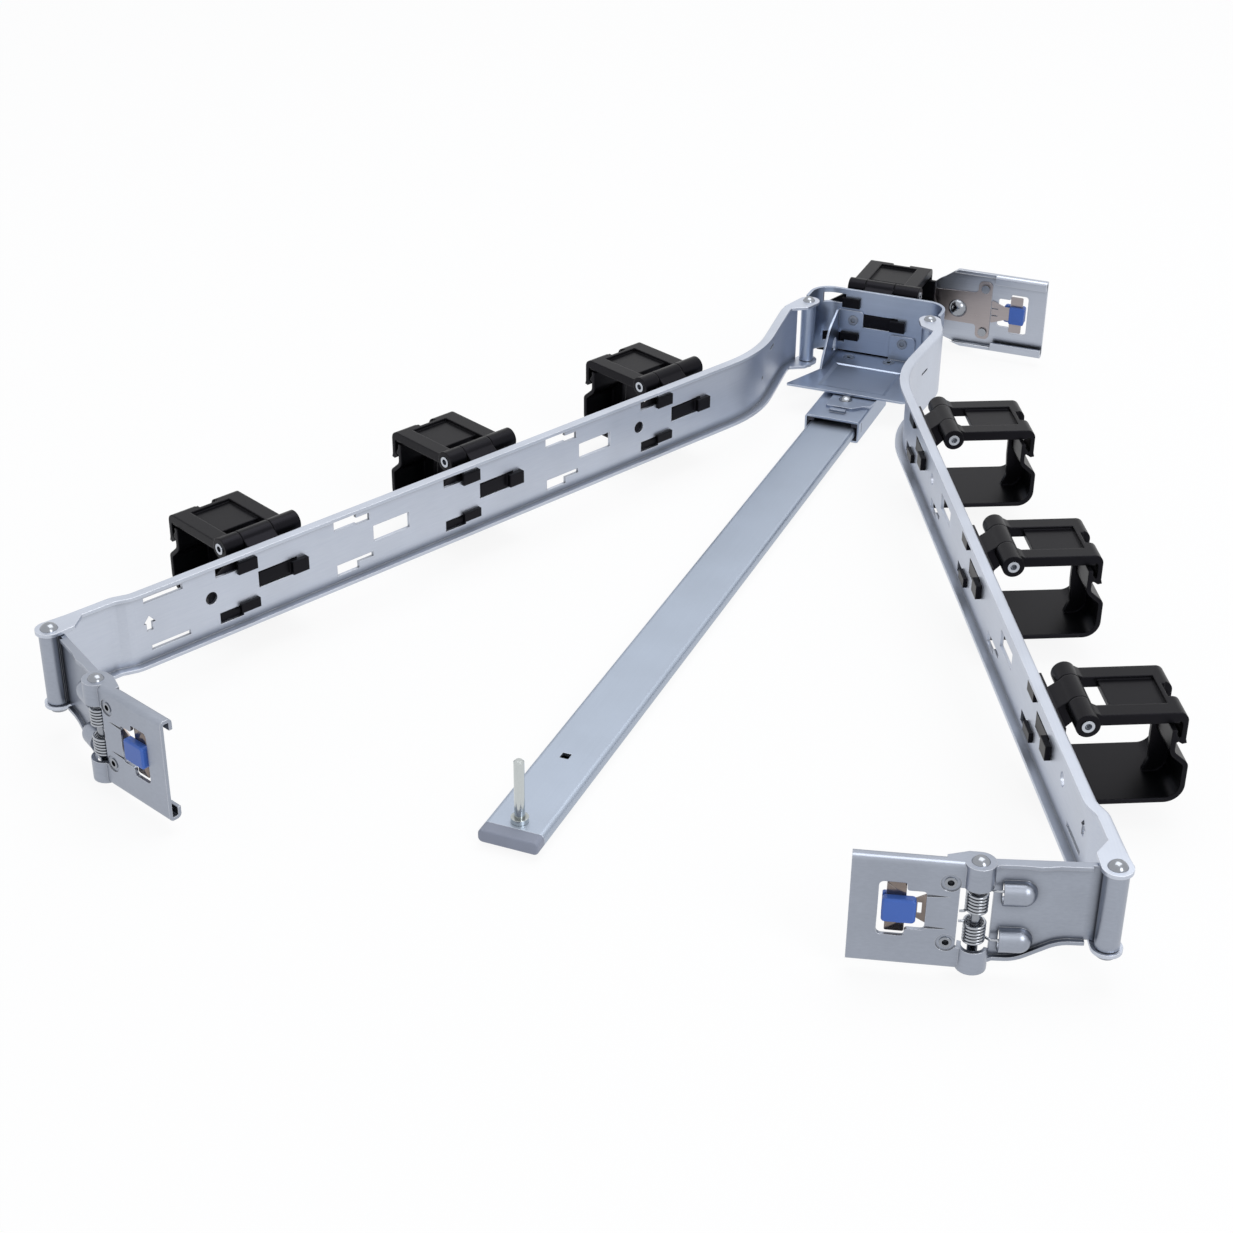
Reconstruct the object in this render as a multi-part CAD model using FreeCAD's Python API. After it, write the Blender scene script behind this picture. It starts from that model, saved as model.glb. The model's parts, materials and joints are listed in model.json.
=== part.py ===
import FreeCAD, Part
import math
import os

# Server cable management arm, lying as it is used: two hinged arms in a V, seven cable baskets,
# an elbow that slides on a flat support bar, and a clip connector at each of the three ends.
# Units are millimetres. The origin is on the axis of the bar's locating pin, at the bar's underside.
# +Y runs along the bar to its rear end, +Z is up. Heights called level are above the arms' underside.

V = FreeCAD.Vector
ORIGIN = V(0, 0, 0)
UP = V(0, 0, 1)

# Sheet, clearances and pin fits
SHEET = 1.2
SEAT_GAP = 0.05
RUN_GAP = 0.3
PIN_FIT = 0.05

# Support bar: a flat tube with a plug in its front end
BAR_WIDTH = 20.0
BAR_THICK = 4.5
BAR_WALL = 1.0
BAR_ROUND = 1.6
CAP_SEAM = -4.2
CAP_LENGTH = 4.8
CAP_PLUG = 9.0
LOCATING_PIN_R = 1.65
LOCATING_PIN_RISE = 22.0
LOCATING_COLLAR_R = 2.8
LOCATING_COLLAR_RISE = 1.6
KEY_HOLE = 3.0
KEY_HOLE_X = -1.6
KEY_HOLE_Y = 37.9

# Sleeve and liner that carry the elbow along the bar
SLIDE_GAP = 0.25
LINER_WALL = 0.55
SLEEVE_WALL = 0.85
PIVOT_Y = 324.6
SLEEVE_FRONT = PIVOT_Y - 18.1
SLEEVE_REAR = PIVOT_Y + 21.4
SLEEVE_LIFT = 3.1
SLEEVE_LIP = 4.0
LINER_LEDGE = 2.2
STOP_HALF = 3.3
STOP_THICK = 2.0
STOP_ROOM = 2.0

# Pivot of the elbow on the sleeve, its tongue plate and the tray above it
PIVOT_R = 1.9
PIVOT_HEAD_R = 2.8
PIVOT_HEAD_RISE = 1.5
PIVOT_FOOT_R = 3.2
PIVOT_FOOT_THICK = 0.9
TONGUE_THICK = 0.9
TONGUE_FRONT = PIVOT_Y - 8.0
TRAY_SHEET = 0.9
TRAY_SINK = 0.4
TRAY_FRONT = PIVOT_Y + 3.8
TRAY_WING = 27.4
TRAY_RIGHT = 24.5
TRAY_WAIST = 20.6
TRAY_SIDE = -19.0
PAN_FRONT = TRAY_FRONT + 4.6
PAN_REAR = TRAY_FRONT + 27.8
PAN_HALF = 13.25
PAN_SLOPE = 1.5
FLAT_RIVET_R = 1.5
EAR_RIVET_R = 1.3

# Arms: pivot to pivot, height, and the bends of the web's outer face in plan
ARM_BASE = 10.5
ARM_HEIGHT = 28.0
ARM_LENGTH = 382.0
ARM_FLANGE = 4.0
ARM_EAR_R = 4.5
ARM_BEND = 1.0
ARM_REST_LEFT = 20.44
ARM_REST_RIGHT = 23.2
WEB_SLOPE = 3.47
WEB_REF_X = 85.0
WEB_REF_Y = -15.5
ARM_EAR_RUN = 12.5
ARM_FRONT_RUN = 30.7
CRANK_X = 12.0
CRANK_RUN = 44.0

# Elbow bracket, a strip bent to a U with a rolled tube at each end
ELBOW_HALF = 26.5
ELBOW_Y = PIVOT_Y + 26.7
ELBOW_BACK = ELBOW_Y + 20.2
ELBOW_CORNER = 9.0
ELBOW_TUBE_R = 3.05
EAR_ROOM = 1.5
ELBOW_PIN_R = ELBOW_TUBE_R - SHEET - PIN_FIT
ARM_HEAD_RISE = 1.9
ARM_FOOT_THICK = 1.6

# Link plates between the arms and the front connectors
LINK_LENGTH = 36.5
LINK_SHEET = 1.6
LINK_TUBE_R = 3.55
LINK_REST_LEFT = -32.6
LINK_REST_RIGHT = 199.4
LINK_FLANGE = 2.9
LINK_FLANGE_SHEET = 1.2
LINK_LOW = -6.0
LINK_NOTCH = 6.0
LINK_NOTCH_RISE = 0.4
LINK_KNEE = 13.0
LINK_FOOT = 24.5
LINK_CURVE = 12.0
LINK_END_ROOM = 4.7
LINK_EAR_R = 2.85
ARM_PIN_R = LINK_TUBE_R - LINK_SHEET - PIN_FIT
SCOOP_LEVELS = (16.7, 0.8)
SCOOP_OPEN = 29.5
SCOOP_END = 20.0
SCOOP_R = 3.9
SCOOP_SHEET = 0.9

# Connectors and their latches
CONNECTOR_LENGTH = 34.5
CONNECTOR_HEIGHT = 35.5
CONNECTOR_LOW = -7.5
CONNECTOR_FACE = 2.4
CONNECTOR_DEPTH = 4.4
CONNECTOR_LIP = 4.0
CONNECTOR_ROUND = 1.6
CONNECTOR_REST_LEFT = -20.1
CONNECTOR_REST_RIGHT = 195.0
KNUCKLE_R = 4.4
PLATE_FROM = 2.6
PLATE_CLEAR = KNUCKLE_R + 0.5
LIPS_FROM = 6.5
KNUCKLE_HIGH = 20.4
KNUCKLE_LOW_TOP = 0.0
CONNECTOR_PIN_R = 1.5
LATCH_LEVEL = 11.55
RIVET_FROM_PIN = 7.5
RIVET_HALF = 10.1
RIVET_R = 1.25
RIVET_HEAD_R = 1.75
RIVET_TAIL_R = 1.9
RIVET_DIMPLE_R = 2.8
RIVET_DIMPLE = 0.35
WINDOW_FROM_RIVET = 6.1
WINDOW_LENGTH = 13.1
WINDOW_STEP = 5.4
WINDOW_HALF = 9.0
WINDOW_NECK_HALF = 6.5
LEAF_SHEET = 0.5
LEAF_START = -2.5
LEAF_END = 17.0
LEAF_HALF = 8.3
LEAF_BASE_HALF = 11.8
LEAF_NECK_HALF = 3.1
BUTTON_LENGTH = 9.4
BUTTON_HEIGHT = 7.8
BUTTON_PROUD = 1.4
SPRING_R = 3.3
SPRING_WIRE = 0.8
SPRING_TURNS = 8
SPRING_LEVELS = (11.2, 1.2)
SPRING_LEG = 7.9
SPRING_LEG_Y = -0.1
SPRING_SHORT_LEG = 1.7

# Baskets: stations along the arms, mounting slots, body, lid and hinge
STATION_COUNT = 5
STATION_FIRST = ARM_LENGTH - 80.4
STATION_LAST = CRANK_X + CRANK_RUN + 48.4
STATION_PITCH = (STATION_FIRST - STATION_LAST) / (STATION_COUNT - 1)
BASKET_STATIONS = (0, 2, 4)
ELBOW_STATION_X = -8.5
SLOT_LENGTH = 16.2
SLOT_LOW = 11.7
SLOT_HIGH = 17.8
UPPER_NECK = (20.9, 23.6)
UPPER_MOUTH_TOP = 25.7
LOWER_NECK = (6.1, 7.9)
LOWER_MOUTH_LOW = 3.7
MARK_HOLE_R = 2.3
END_SLOT_LENGTH = 15.2
BASKET_FROM = -8.5
BASKET_TO = 22.7
BASKET_PLATE_FROM = -19.6
BASKET_WALL = 1.5
BASKET_DEPTH = 40.4
BASKET_FLOOR = -2.3
BASKET_SHOULDER = 11.5
BASKET_STEP = 4.8
BASKET_TOP = 23.4
BASKET_RISE = 4.2
BASKET_BEND = 6.0
BACK_TOP = 25.6
BACK_KNEE = 15.5
RIB_THICK = 1.8
LEDGE_OUT = 1.0
TAB_CLEAR = 0.45
TAB_FROM = 0.4
TAB_TO = 12.9
LUG_FROM = 13.2
LUG_TO = 19.8
LUG_THICK = 1.9
HOOK_FROM = -6.6
HOOK_TO = -1.9
HOOK_SPREAD = 0.8
HOOK_THICK = 1.3
HINGE_OUT = 8.1
HINGE_LEVEL = 26.0
HINGE_PIN_R = 2.0
PIN_REACH = 0.35
PIN_DRILL_R = 1.1
BARREL_R = 3.8
LID_KNUCKLE_NEAR = 7.4
LID_KNUCKLE_FAR = 10.8
LID_TOP = 27.7
LID_UNDER = 24.1
LID_RAIL = 5.8
LID_FROM = BASKET_FROM + 0.5
LID_TO = BASKET_TO - 3.1
LID_PANEL_TOP = 26.6
LID_PANEL_UNDER = 25.1
LID_WINDOW_TO = 17.2
LID_EDGE = BASKET_DEPTH - 3.4
LID_NOTCH = (2.5, 10.0)
LID_NOTCH_DEPTH = 1.3
LID_HOOK_WIDTH = 9.8
LID_HOOK_DROP = 10.8

# Rear connector on the bar's rear end
REAR_ROOM = 4.1
REAR_FACE_Y = ELBOW_BACK + BASKET_DEPTH + REAR_ROOM
BAR_REAR = REAR_FACE_Y + 14.0
REAR_DOME_X = 22.7
REAR_DOME_LEVEL = 8.7
REAR_END_R = 15.5
REAR_LENGTH = 38.9
REAR_RIVET_X = 11.9
REAR_SHIFT = -0.8
REAR_DOME_R = 4.2
REAR_SHANK_R = REAR_DOME_R - 1.6
REAR_DOME_RISE = 2.6
REAR_THINNED = 0.4
REAR_THINNED_TO = 8.3
REAR_STRIP_FROM = -12.0
REAR_STRIP_LOW = 6.3
REAR_STRIP_HIGH = 8.6
REAR_STRIP_EAR = 3.3
REAR_STRIP_END = 2.9
BRACKET_SHEET = 1.8


def box(x0, x1, y0, y1, z0, z1):
    return Part.makeBox(x1 - x0, y1 - y0, z1 - z0, V(x0, y0, z0))


def rod(radius, z0, z1, x=0.0, y=0.0):
    return Part.makeCylinder(radius, z1 - z0, V(x, y, z0))


def ring(outer, inner, z0, z1, x=0.0, y=0.0):
    return rod(outer, z0, z1, x, y).cut(rod(inner, z0, z1, x, y))


def cross_rod(radius, y0, y1, x, z):
    """A round bar along Y."""
    return Part.makeCylinder(radius, y1 - y0, V(x, y0, z), V(0, 1, 0))


def dome(radius, rise, base):
    """A ball-faced rivet head that stands on the level base."""
    ball = (radius ** 2 + rise ** 2) / (2 * rise)
    start = math.degrees(math.asin(1 - rise / ball))
    return Part.makeSphere(ball, V(0, 0, base + rise - ball), UP, start, 90)


def join(first, *others):
    return first.fuse(list(others)).removeSplitter()


def corner(before, at, after, radius):
    """Start, middle and end of the arc that rounds the corner at one point of a path."""
    into = (at - before).normalize()
    out = (after - at).normalize()
    turn = into.getAngle(out)
    reach = radius * math.tan(turn / 2)
    bisector = (out - into).normalize()
    middle = at + bisector * (radius / math.cos(turn / 2) - radius)
    return at - into * reach, middle, at + out * reach


def path_edges(points, radii, closed):
    """Straight runs through the points, with each corner rounded by its own radius."""
    knots = []
    for index, at in enumerate(points):
        inner = closed or 0 < index < len(points) - 1
        if inner and radii[index] > 0:
            after = points[(index + 1) % len(points)]
            knots.append(corner(points[index - 1], at, after, radii[index]))
        else:
            knots.append((at,))
    edges = [Part.Arc(*knot).toShape() for knot in knots if len(knot) == 3]
    followers = knots[1:] + knots[:1] if closed else knots[1:]
    for knot, follower in zip(knots, followers):
        if (follower[0] - knot[-1]).Length > 1e-6:
            edges.append(Part.makeLine(knot[-1], follower[0]))
    return edges


def face_of(edges):
    return Part.Face(Part.Wire(Part.__sortEdges__(edges)))


def plate(points, z0, z1, radii=0.0):
    """A flat plate of the given outline in plan, from one level to another."""
    corners = [V(a, b, z0) for a, b in points]
    if not isinstance(radii, (list, tuple)):
        radii = [radii] * len(corners)
    return face_of(path_edges(corners, radii, True)).extrude(V(0, 0, z1 - z0))


def upright(points, y0, y1, radii=0.0):
    """A plate that stands along X: its outline is in x and z, its thickness from y0 to y1."""
    flat = plate(points, -y1, -y0, radii)
    flat.rotate(ORIGIN, V(1, 0, 0), 90)
    return flat


def section(points, x0, x1, radii=0.0):
    """A bar along X: its outline is in y and z."""
    flat = plate(points, x0, x1, radii)
    flat.rotate(ORIGIN, V(1, 1, 1), 120)
    return flat


def shifted(points, radii, shift):
    """The same path moved to its left by shift, with its corner radii to match."""
    moved = []
    new_radii = []
    for index, at in enumerate(points):
        into = (at - points[index - 1]).normalize() if index else None
        out = (points[index + 1] - at).normalize() if index < len(points) - 1 else None
        if into is None or out is None:
            run = into or out
            moved.append(at + V(-run.y, run.x, 0) * shift)
            new_radii.append(0.0)
            continue
        turn = math.atan2(into.x * out.y - into.y * out.x, into.dot(out))
        left = V(-into.y, into.x, 0) + V(-out.y, out.x, 0)
        moved.append(at + left.normalize() * (shift / math.cos(turn / 2)))
        new_radii.append(max(radii[index] - math.copysign(shift, shift * turn), 0.0)
                         if radii[index] else 0.0)
    return moved, new_radii


def band(points, radii, near, far, z0, z1):
    """Sheet that follows a path in plan, between two distances to the path's left."""
    corners = [V(a, b, 0) for a, b in points]
    first = shifted(corners, radii, near)
    second = shifted(corners, radii, far)
    edges = path_edges(first[0], first[1], False) + path_edges(second[0], second[1], False)
    edges.append(Part.makeLine(first[0][0], second[0][0]))
    edges.append(Part.makeLine(first[0][-1], second[0][-1]))
    solid = face_of(edges).extrude(V(0, 0, z1 - z0))
    solid.translate(V(0, 0, z0))
    return solid


def tapered(low, high, z0, z1):
    """A block whose rectangular section changes from low to high; each is (x0, x1, y0, y1)."""
    wires = []
    for (x0, x1, y0, y1), z in ((low, z0), (high, z1)):
        corners = [V(x0, y0, z), V(x1, y0, z), V(x1, y1, z), V(x0, y1, z), V(x0, y0, z)]
        wires.append(Part.makePolygon(corners))
    return Part.makeLoft(wires, True, True)


def rivet(shank_r, head_r, head_rise, low, high, foot_r, foot_thick):
    """An upright rivet: shank from low to high, a domed head above and a flat foot below."""
    shank = rod(shank_r, low, high)
    foot = rod(foot_r, low - foot_thick, low)
    return join(shank, dome(head_r, head_rise, high), foot)


class Seat:
    """A place in plan: where a piece's own origin goes, which way its x runs, and which side its y is."""

    def __init__(self, x, y, turn, side=1, lift=ARM_BASE):
        self.x = x
        self.y = y
        self.turn = turn
        self.side = side
        self.lift = lift

    def point(self, x, y):
        angle = math.radians(self.turn)
        across = y * self.side
        return (self.x + x * math.cos(angle) - across * math.sin(angle),
                self.y + x * math.sin(angle) + across * math.cos(angle))

    def seat(self, x, y, turn, side=1):
        """A seat given in this seat's own directions."""
        place = self.point(x, y)
        return Seat(place[0], place[1], self.turn + self.side * turn, self.side * side, self.lift)

    def put(self, shape):
        placed = shape.copy()
        if self.side < 0:
            placed = placed.mirror(ORIGIN, V(0, 1, 0))
        placed.rotate(ORIGIN, UP, self.turn)
        placed.translate(V(self.x, self.y, self.lift))
        return placed


def save(name, shape):
    shape.exportStep("parts/" + name + ".step")


# Seats of the two arm chains and the rear connector
LEFT_ARM = Seat(-ELBOW_HALF, ELBOW_Y, -90 - ARM_REST_LEFT, -1)
RIGHT_ARM = Seat(ELBOW_HALF, ELBOW_Y, -90 + ARM_REST_RIGHT, 1)
LEFT_LINK = Seat(*LEFT_ARM.point(ARM_LENGTH, 0), LINK_REST_LEFT, -1)
RIGHT_LINK = Seat(*RIGHT_ARM.point(ARM_LENGTH, 0), LINK_REST_RIGHT, 1)
LEFT_CONNECTOR = Seat(*LEFT_LINK.point(LINK_LENGTH, 0), CONNECTOR_REST_LEFT, -1)
RIGHT_CONNECTOR = Seat(*RIGHT_LINK.point(LINK_LENGTH, 0), CONNECTOR_REST_RIGHT, 1)
REAR_CONNECTOR = Seat(REAR_DOME_X, REAR_FACE_Y - CONNECTOR_FACE + SHEET, 0, 1)
ELBOW_SEAT = Seat(ELBOW_STATION_X, ELBOW_BACK, 0, 1)


def web_line(x):
    """Outer face of an arm's long straight run, in the arm's own y."""
    return WEB_REF_Y + math.tan(math.radians(WEB_SLOPE)) * (x - WEB_REF_X)


def station_seat(index, arm, forward):
    """Seat of one basket station; its x runs forward or back along the arm, its y leaves the web."""
    x = STATION_FIRST - STATION_PITCH * index
    if forward:
        x -= BASKET_FROM + BASKET_TO
        return arm.seat(x, web_line(x), WEB_SLOPE, 1)
    return arm.seat(x, web_line(x), 180 + WEB_SLOPE, -1)


def station_slots(depth=3.0):
    """The three mounting slots of one station, as cutters through the sheet."""
    middle = box(0, SLOT_LENGTH, -depth, depth, SLOT_LOW, SLOT_HIGH)
    low, high = UPPER_NECK
    upper = upright([(-17, low + 0.6), (-7.3, low + 0.6), (-7.3, low), (-1.5, low), (-1.5, high),
                     (-7.3, high), (-7.3, UPPER_MOUTH_TOP), (-17, UPPER_MOUTH_TOP)], -depth, depth)
    low, high = LOWER_NECK
    lower = upright([(-16.5, LOWER_MOUTH_LOW), (-7.0, LOWER_MOUTH_LOW), (-7.0, low), (-0.5, low),
                     (-0.5, high), (-16.5, high)], -depth, depth)
    return [middle, upper, lower]


def arrow_hole(x, level, depth):
    """A small pointed hole that shows which way up the arm goes."""
    outline = [(x - 1.2, level - 2.8), (x + 1.2, level - 2.8), (x + 1.2, level), (x + 2.4, level),
               (x, level + 2.8), (x - 2.4, level), (x - 1.2, level)]
    return upright(outline, -depth, depth)


def arm_shape(forward):
    """Channel-section arm with a cranked end at each pivot; x runs from the elbow to the front."""
    run_from = CRANK_X + CRANK_RUN
    run_to = ARM_LENGTH - ARM_FRONT_RUN
    path = [(3.2, ARM_EAR_R), (CRANK_X, ARM_EAR_R), (run_from, web_line(run_from)),
            (run_to, web_line(run_to)), (run_to + 5.5, 3.0), (ARM_LENGTH - 3.6, ARM_EAR_R - 0.1)]
    radii = [0, 25, 60, 8, 8, 0]
    body = band(path, radii, -ARM_FLANGE, 0, 0, ARM_HEIGHT)
    outer = path_edges([V(a, b, 0) for a, b in path], radii, False)
    middles = [edge.valueAt((edge.FirstParameter + edge.LastParameter) / 2) for edge in outer]
    long_edges = []
    for edge in body.Edges:
        at = edge.valueAt((edge.FirstParameter + edge.LastParameter) / 2)
        level = at.z
        flat = V(at.x, at.y, 0)
        if min(abs(level), abs(level - ARM_HEIGHT)) < 1e-6:
            if any((flat - middle).Length < 0.01 for middle in middles):
                long_edges.append(edge)
    body = body.makeFillet(ARM_BEND, long_edges)
    body = body.cut(band(path, radii, -ARM_FLANGE - 1, -SHEET, SHEET, ARM_HEIGHT - SHEET))
    ear_low = -ARM_EAR_R
    for low in (0.0, ARM_HEIGHT - SHEET):
        high = low + SHEET
        near = plate([(0, ear_low), (6.0, ear_low), (ARM_EAR_RUN, 0.3),
                      (ARM_EAR_RUN - 0.5, ARM_EAR_R - ARM_BEND), (0, ARM_EAR_R)], low, high)
        front = plate([(ARM_LENGTH, ear_low), (ARM_LENGTH - 6.5, ear_low),
                       (ARM_LENGTH - ARM_EAR_RUN, 0.0), (ARM_LENGTH - ARM_EAR_RUN + 0.5, ARM_EAR_R - 1.6),
                       (ARM_LENGTH, ARM_EAR_R)], low, high)
        body = body.fuse([near, front, rod(ARM_EAR_R, low, high),
                          rod(ARM_EAR_R, low, high, ARM_LENGTH, 0)])
    body = body.removeSplitter()
    cutters = [rod(ELBOW_PIN_R + SEAT_GAP, -1, ARM_HEIGHT + 1),
               rod(ARM_PIN_R + SEAT_GAP, -1, ARM_HEIGHT + 1, ARM_LENGTH, 0)]
    for index in range(STATION_COUNT):
        seat = station_seat(index, Seat(0, 0, 0, 1, 0), forward)
        cutters += [seat.put(slot) for slot in station_slots()]
    run = Seat(0, WEB_REF_Y - math.tan(math.radians(WEB_SLOPE)) * WEB_REF_X, WEB_SLOPE, 1, 0)
    stretch = 1 / math.cos(math.radians(WEB_SLOPE))
    depth = 3.0
    middle = ARM_HEIGHT / 2 + 0.8
    for x in (STATION_FIRST + 19.2, STATION_FIRST - 3 * STATION_PITCH - 31.5):
        cutters.append(run.put(cross_rod(MARK_HOLE_R, -depth, depth, x * stretch, middle)))
    for reach, low, high in ((29.9, 22.6, 24.6), (28.4, 4.6, 6.4)):
        x = (STATION_FIRST + reach) * stretch
        cutters.append(run.put(box(x, x + END_SLOT_LENGTH, -depth, depth, low, high)))
    cutters.append(run.put(arrow_hole((STATION_FIRST + 43.6) * stretch, middle, depth)))
    slope = math.degrees(math.atan2(web_line(run_from) - ARM_EAR_R, CRANK_RUN))
    crank = Seat(CRANK_X, ARM_EAR_R, slope, 1, 0)
    cutters.append(crank.put(box(20.0, 27.0, -depth, depth, 18.4, 19.4)))
    cutters.append(crank.put(cross_rod(0.9, -depth, depth, 38.0, 10.8)))
    for cutter in cutters:
        body = body.cut(cutter)
    return body


def elbow_pin():
    head_r = ELBOW_PIN_R + 0.8
    return rivet(ELBOW_PIN_R, head_r, ARM_HEAD_RISE - 0.1, 0, ARM_HEIGHT, head_r, ARM_FOOT_THICK)


def arm_pin():
    head_r = ARM_PIN_R + 1.0
    return rivet(ARM_PIN_R, head_r, ARM_HEAD_RISE, 0, ARM_HEIGHT, head_r, ARM_FOOT_THICK)


def basket_hook(neck):
    """A hook that passes a slot's narrow part and spreads behind the sheet."""
    inner = -SHEET - SEAT_GAP
    stem = box(HOOK_FROM, HOOK_TO, inner, SEAT_GAP, neck[0] + 0.2, neck[1] - 0.2)
    head = box(BASKET_FROM, HOOK_TO + 1.2, inner - HOOK_THICK, inner, neck[0] - HOOK_SPREAD,
               neck[1] + HOOK_SPREAD)
    return join(stem, head)


def basket_body():
    """Moulded basket: back plate with hooks, floor, stepped outer wall and the middle knuckle."""
    near = SEAT_GAP
    path = [(near, BASKET_FLOOR), (BASKET_DEPTH, BASKET_FLOOR), (BASKET_DEPTH, BASKET_SHOULDER),
            (BASKET_DEPTH - BASKET_STEP, BASKET_SHOULDER + BASKET_RISE),
            (BASKET_DEPTH - BASKET_STEP, BASKET_TOP)]
    shell = band(path, [0, BASKET_BEND, 2.5, 2.5, 0], 0, BASKET_WALL, BASKET_FROM, BASKET_TO)
    shell.rotate(ORIGIN, V(1, 1, 1), 120)
    back = box(BASKET_PLATE_FROM, BASKET_TO, near, near + BASKET_WALL, BASKET_FLOOR, BACK_TOP)
    back = back.cut(plate_corner_cut())
    knuckle_from = BASKET_FROM + LID_KNUCKLE_NEAR + RUN_GAP
    knuckle_to = BASKET_TO - LID_KNUCKLE_FAR - RUN_GAP
    bridge = section([(near, BACK_KNEE), (near + BASKET_WALL, BACK_KNEE), (HINGE_OUT, HINGE_LEVEL - BARREL_R),
                      (HINGE_OUT, HINGE_LEVEL + 2.6), (HINGE_OUT - 2.6, HINGE_LEVEL + 2.4),
                      (near + BASKET_WALL, BACK_TOP), (near, BACK_TOP)], knuckle_from, knuckle_to)
    barrel = Part.makeCylinder(BARREL_R, knuckle_to - knuckle_from,
                               V(knuckle_from, HINGE_OUT, HINGE_LEVEL), V(1, 0, 0))
    rib_at = (BASKET_FROM + BASKET_TO) / 2
    inside = BASKET_DEPTH - BASKET_WALL
    rib = section([(inside - 7.5, BASKET_FLOOR + 1), (inside + 0.5, BASKET_FLOOR + 1),
                   (inside + 0.5, BASKET_SHOULDER - 0.5), (inside - BASKET_STEP + 0.5, 16.5),
                   (inside - BASKET_STEP + 0.5, 21.5), (inside - BASKET_STEP - 1.3, 20.0),
                   (inside - BASKET_STEP - 1.3, 12.0), (inside - 5.6, 4.0)],
                  rib_at - RIB_THICK / 2, rib_at + RIB_THICK / 2)
    wall = BASKET_DEPTH - BASKET_STEP
    ledge = section([(wall - 0.3, BASKET_TOP - 4.5), (wall + LEDGE_OUT, BASKET_TOP - 3.8),
                     (wall + LEDGE_OUT, BASKET_TOP - 3.0), (wall - 0.3, BASKET_TOP - 1.2)],
                    BASKET_FROM, BASKET_TO)
    low, high = SLOT_LOW + TAB_CLEAR, SLOT_HIGH - TAB_CLEAR
    behind = -SHEET - SEAT_GAP
    tab = box(TAB_FROM, TAB_TO, -SHEET, near + 0.2, low, high)
    lug_neck = box(TAB_TO, SLOT_LENGTH - 0.3, behind, near + 0.2, low, high)
    lug = box(LUG_FROM, LUG_TO, behind - LUG_THICK, behind, low + 0.15, high - 0.15)
    body = join(shell, back, bridge, barrel, rib, ledge, tab, lug_neck, lug,
                basket_hook(UPPER_NECK), basket_hook(LOWER_NECK))
    bore = Part.makeCylinder(HINGE_PIN_R + PIN_FIT, BASKET_TO - BASKET_FROM,
                             V(BASKET_FROM, HINGE_OUT, HINGE_LEVEL), V(1, 0, 0))
    return body.cut(bore)


def plate_corner_cut():
    """Slanted upper corner of the back plate's long end."""
    return upright([(BASKET_PLATE_FROM - 1, 14.0), (BASKET_PLATE_FROM - 1, 27.0),
                    (BASKET_FROM - 0.5, 27.0), (BASKET_FROM - 0.5, 25.0), (BASKET_PLATE_FROM + 3, 20.0),
                    (BASKET_PLATE_FROM, 14.0)], -1, 4)


def basket_lid():
    """Moulded lid: two knuckles, side rails, a window, a sunk bare panel and two snap corners."""
    rails = []
    ends = ((BASKET_FROM, LID_KNUCKLE_NEAR, LID_FROM), (BASKET_TO, -LID_KNUCKLE_FAR, LID_TO))
    for start, knuckle, side in ends:
        low, high = sorted((start, start + knuckle))
        rails.append(Part.makeCylinder(BARREL_R, high - low, V(low, HINGE_OUT, HINGE_LEVEL), V(1, 0, 0)))
        inner, outer = sorted((side, side + math.copysign(LID_RAIL, knuckle)))
        rails.append(section([(HINGE_OUT, LID_UNDER), (LID_EDGE, LID_UNDER), (LID_EDGE, LID_TOP),
                              (HINGE_OUT + 4.5, LID_TOP), (HINGE_OUT + 1.5, HINGE_LEVEL + BARREL_R - 0.6),
                              (HINGE_OUT, HINGE_LEVEL + BARREL_R - 0.1)], inner, outer))
        low, high = sorted((side, side + math.copysign(LID_HOOK_WIDTH, knuckle)))
        rails.append(lid_hook(low, high))
    near, far = LID_FROM + 1, LID_TO - 1
    panel = box(near, far, LID_WINDOW_TO, LID_EDGE, LID_PANEL_UNDER, LID_PANEL_TOP)
    near_bar = box(near, far, LID_WINDOW_TO, LID_WINDOW_TO + 1.6, LID_UNDER + 0.6, LID_PANEL_TOP)
    edge = box(near, far, LID_EDGE - 2.6, LID_EDGE, LID_UNDER + 0.4, LID_TOP)
    notch = box(LID_NOTCH[0], LID_NOTCH[1], LID_EDGE - LID_NOTCH_DEPTH, LID_EDGE + 1, LID_UNDER, LID_TOP + 1)
    lid = join(rails[0], *rails[1:], panel, near_bar, edge).cut(notch)
    bore = Part.makeCylinder(HINGE_PIN_R + PIN_FIT, BASKET_TO - BASKET_FROM,
                             V(BASKET_FROM, HINGE_OUT, HINGE_LEVEL), V(1, 0, 0))
    return lid.cut(bore)


def lid_hook(low, high):
    """One outer corner of the lid that wraps down over the body's ledge."""
    outer = BASKET_DEPTH - 0.7
    tip = LID_TOP - LID_HOOK_DROP
    inner = BASKET_DEPTH - BASKET_STEP + 1.3
    return section([(LID_EDGE - 2.6, LID_UNDER + 0.6), (LID_EDGE - 2.6, LID_TOP), (outer, LID_TOP),
                    (outer, tip + 1.5), (outer + 0.4, tip), (outer - 1.0, tip - 0.3),
                    (inner, tip + 0.9), (inner, tip + 1.6), (outer - 1.6, tip + 2.2),
                    (outer - 1.6, LID_UNDER + 0.6)], low, high, [0, 0, 3, 0, 0, 0, 0, 0, 0, 1.2])


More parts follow.
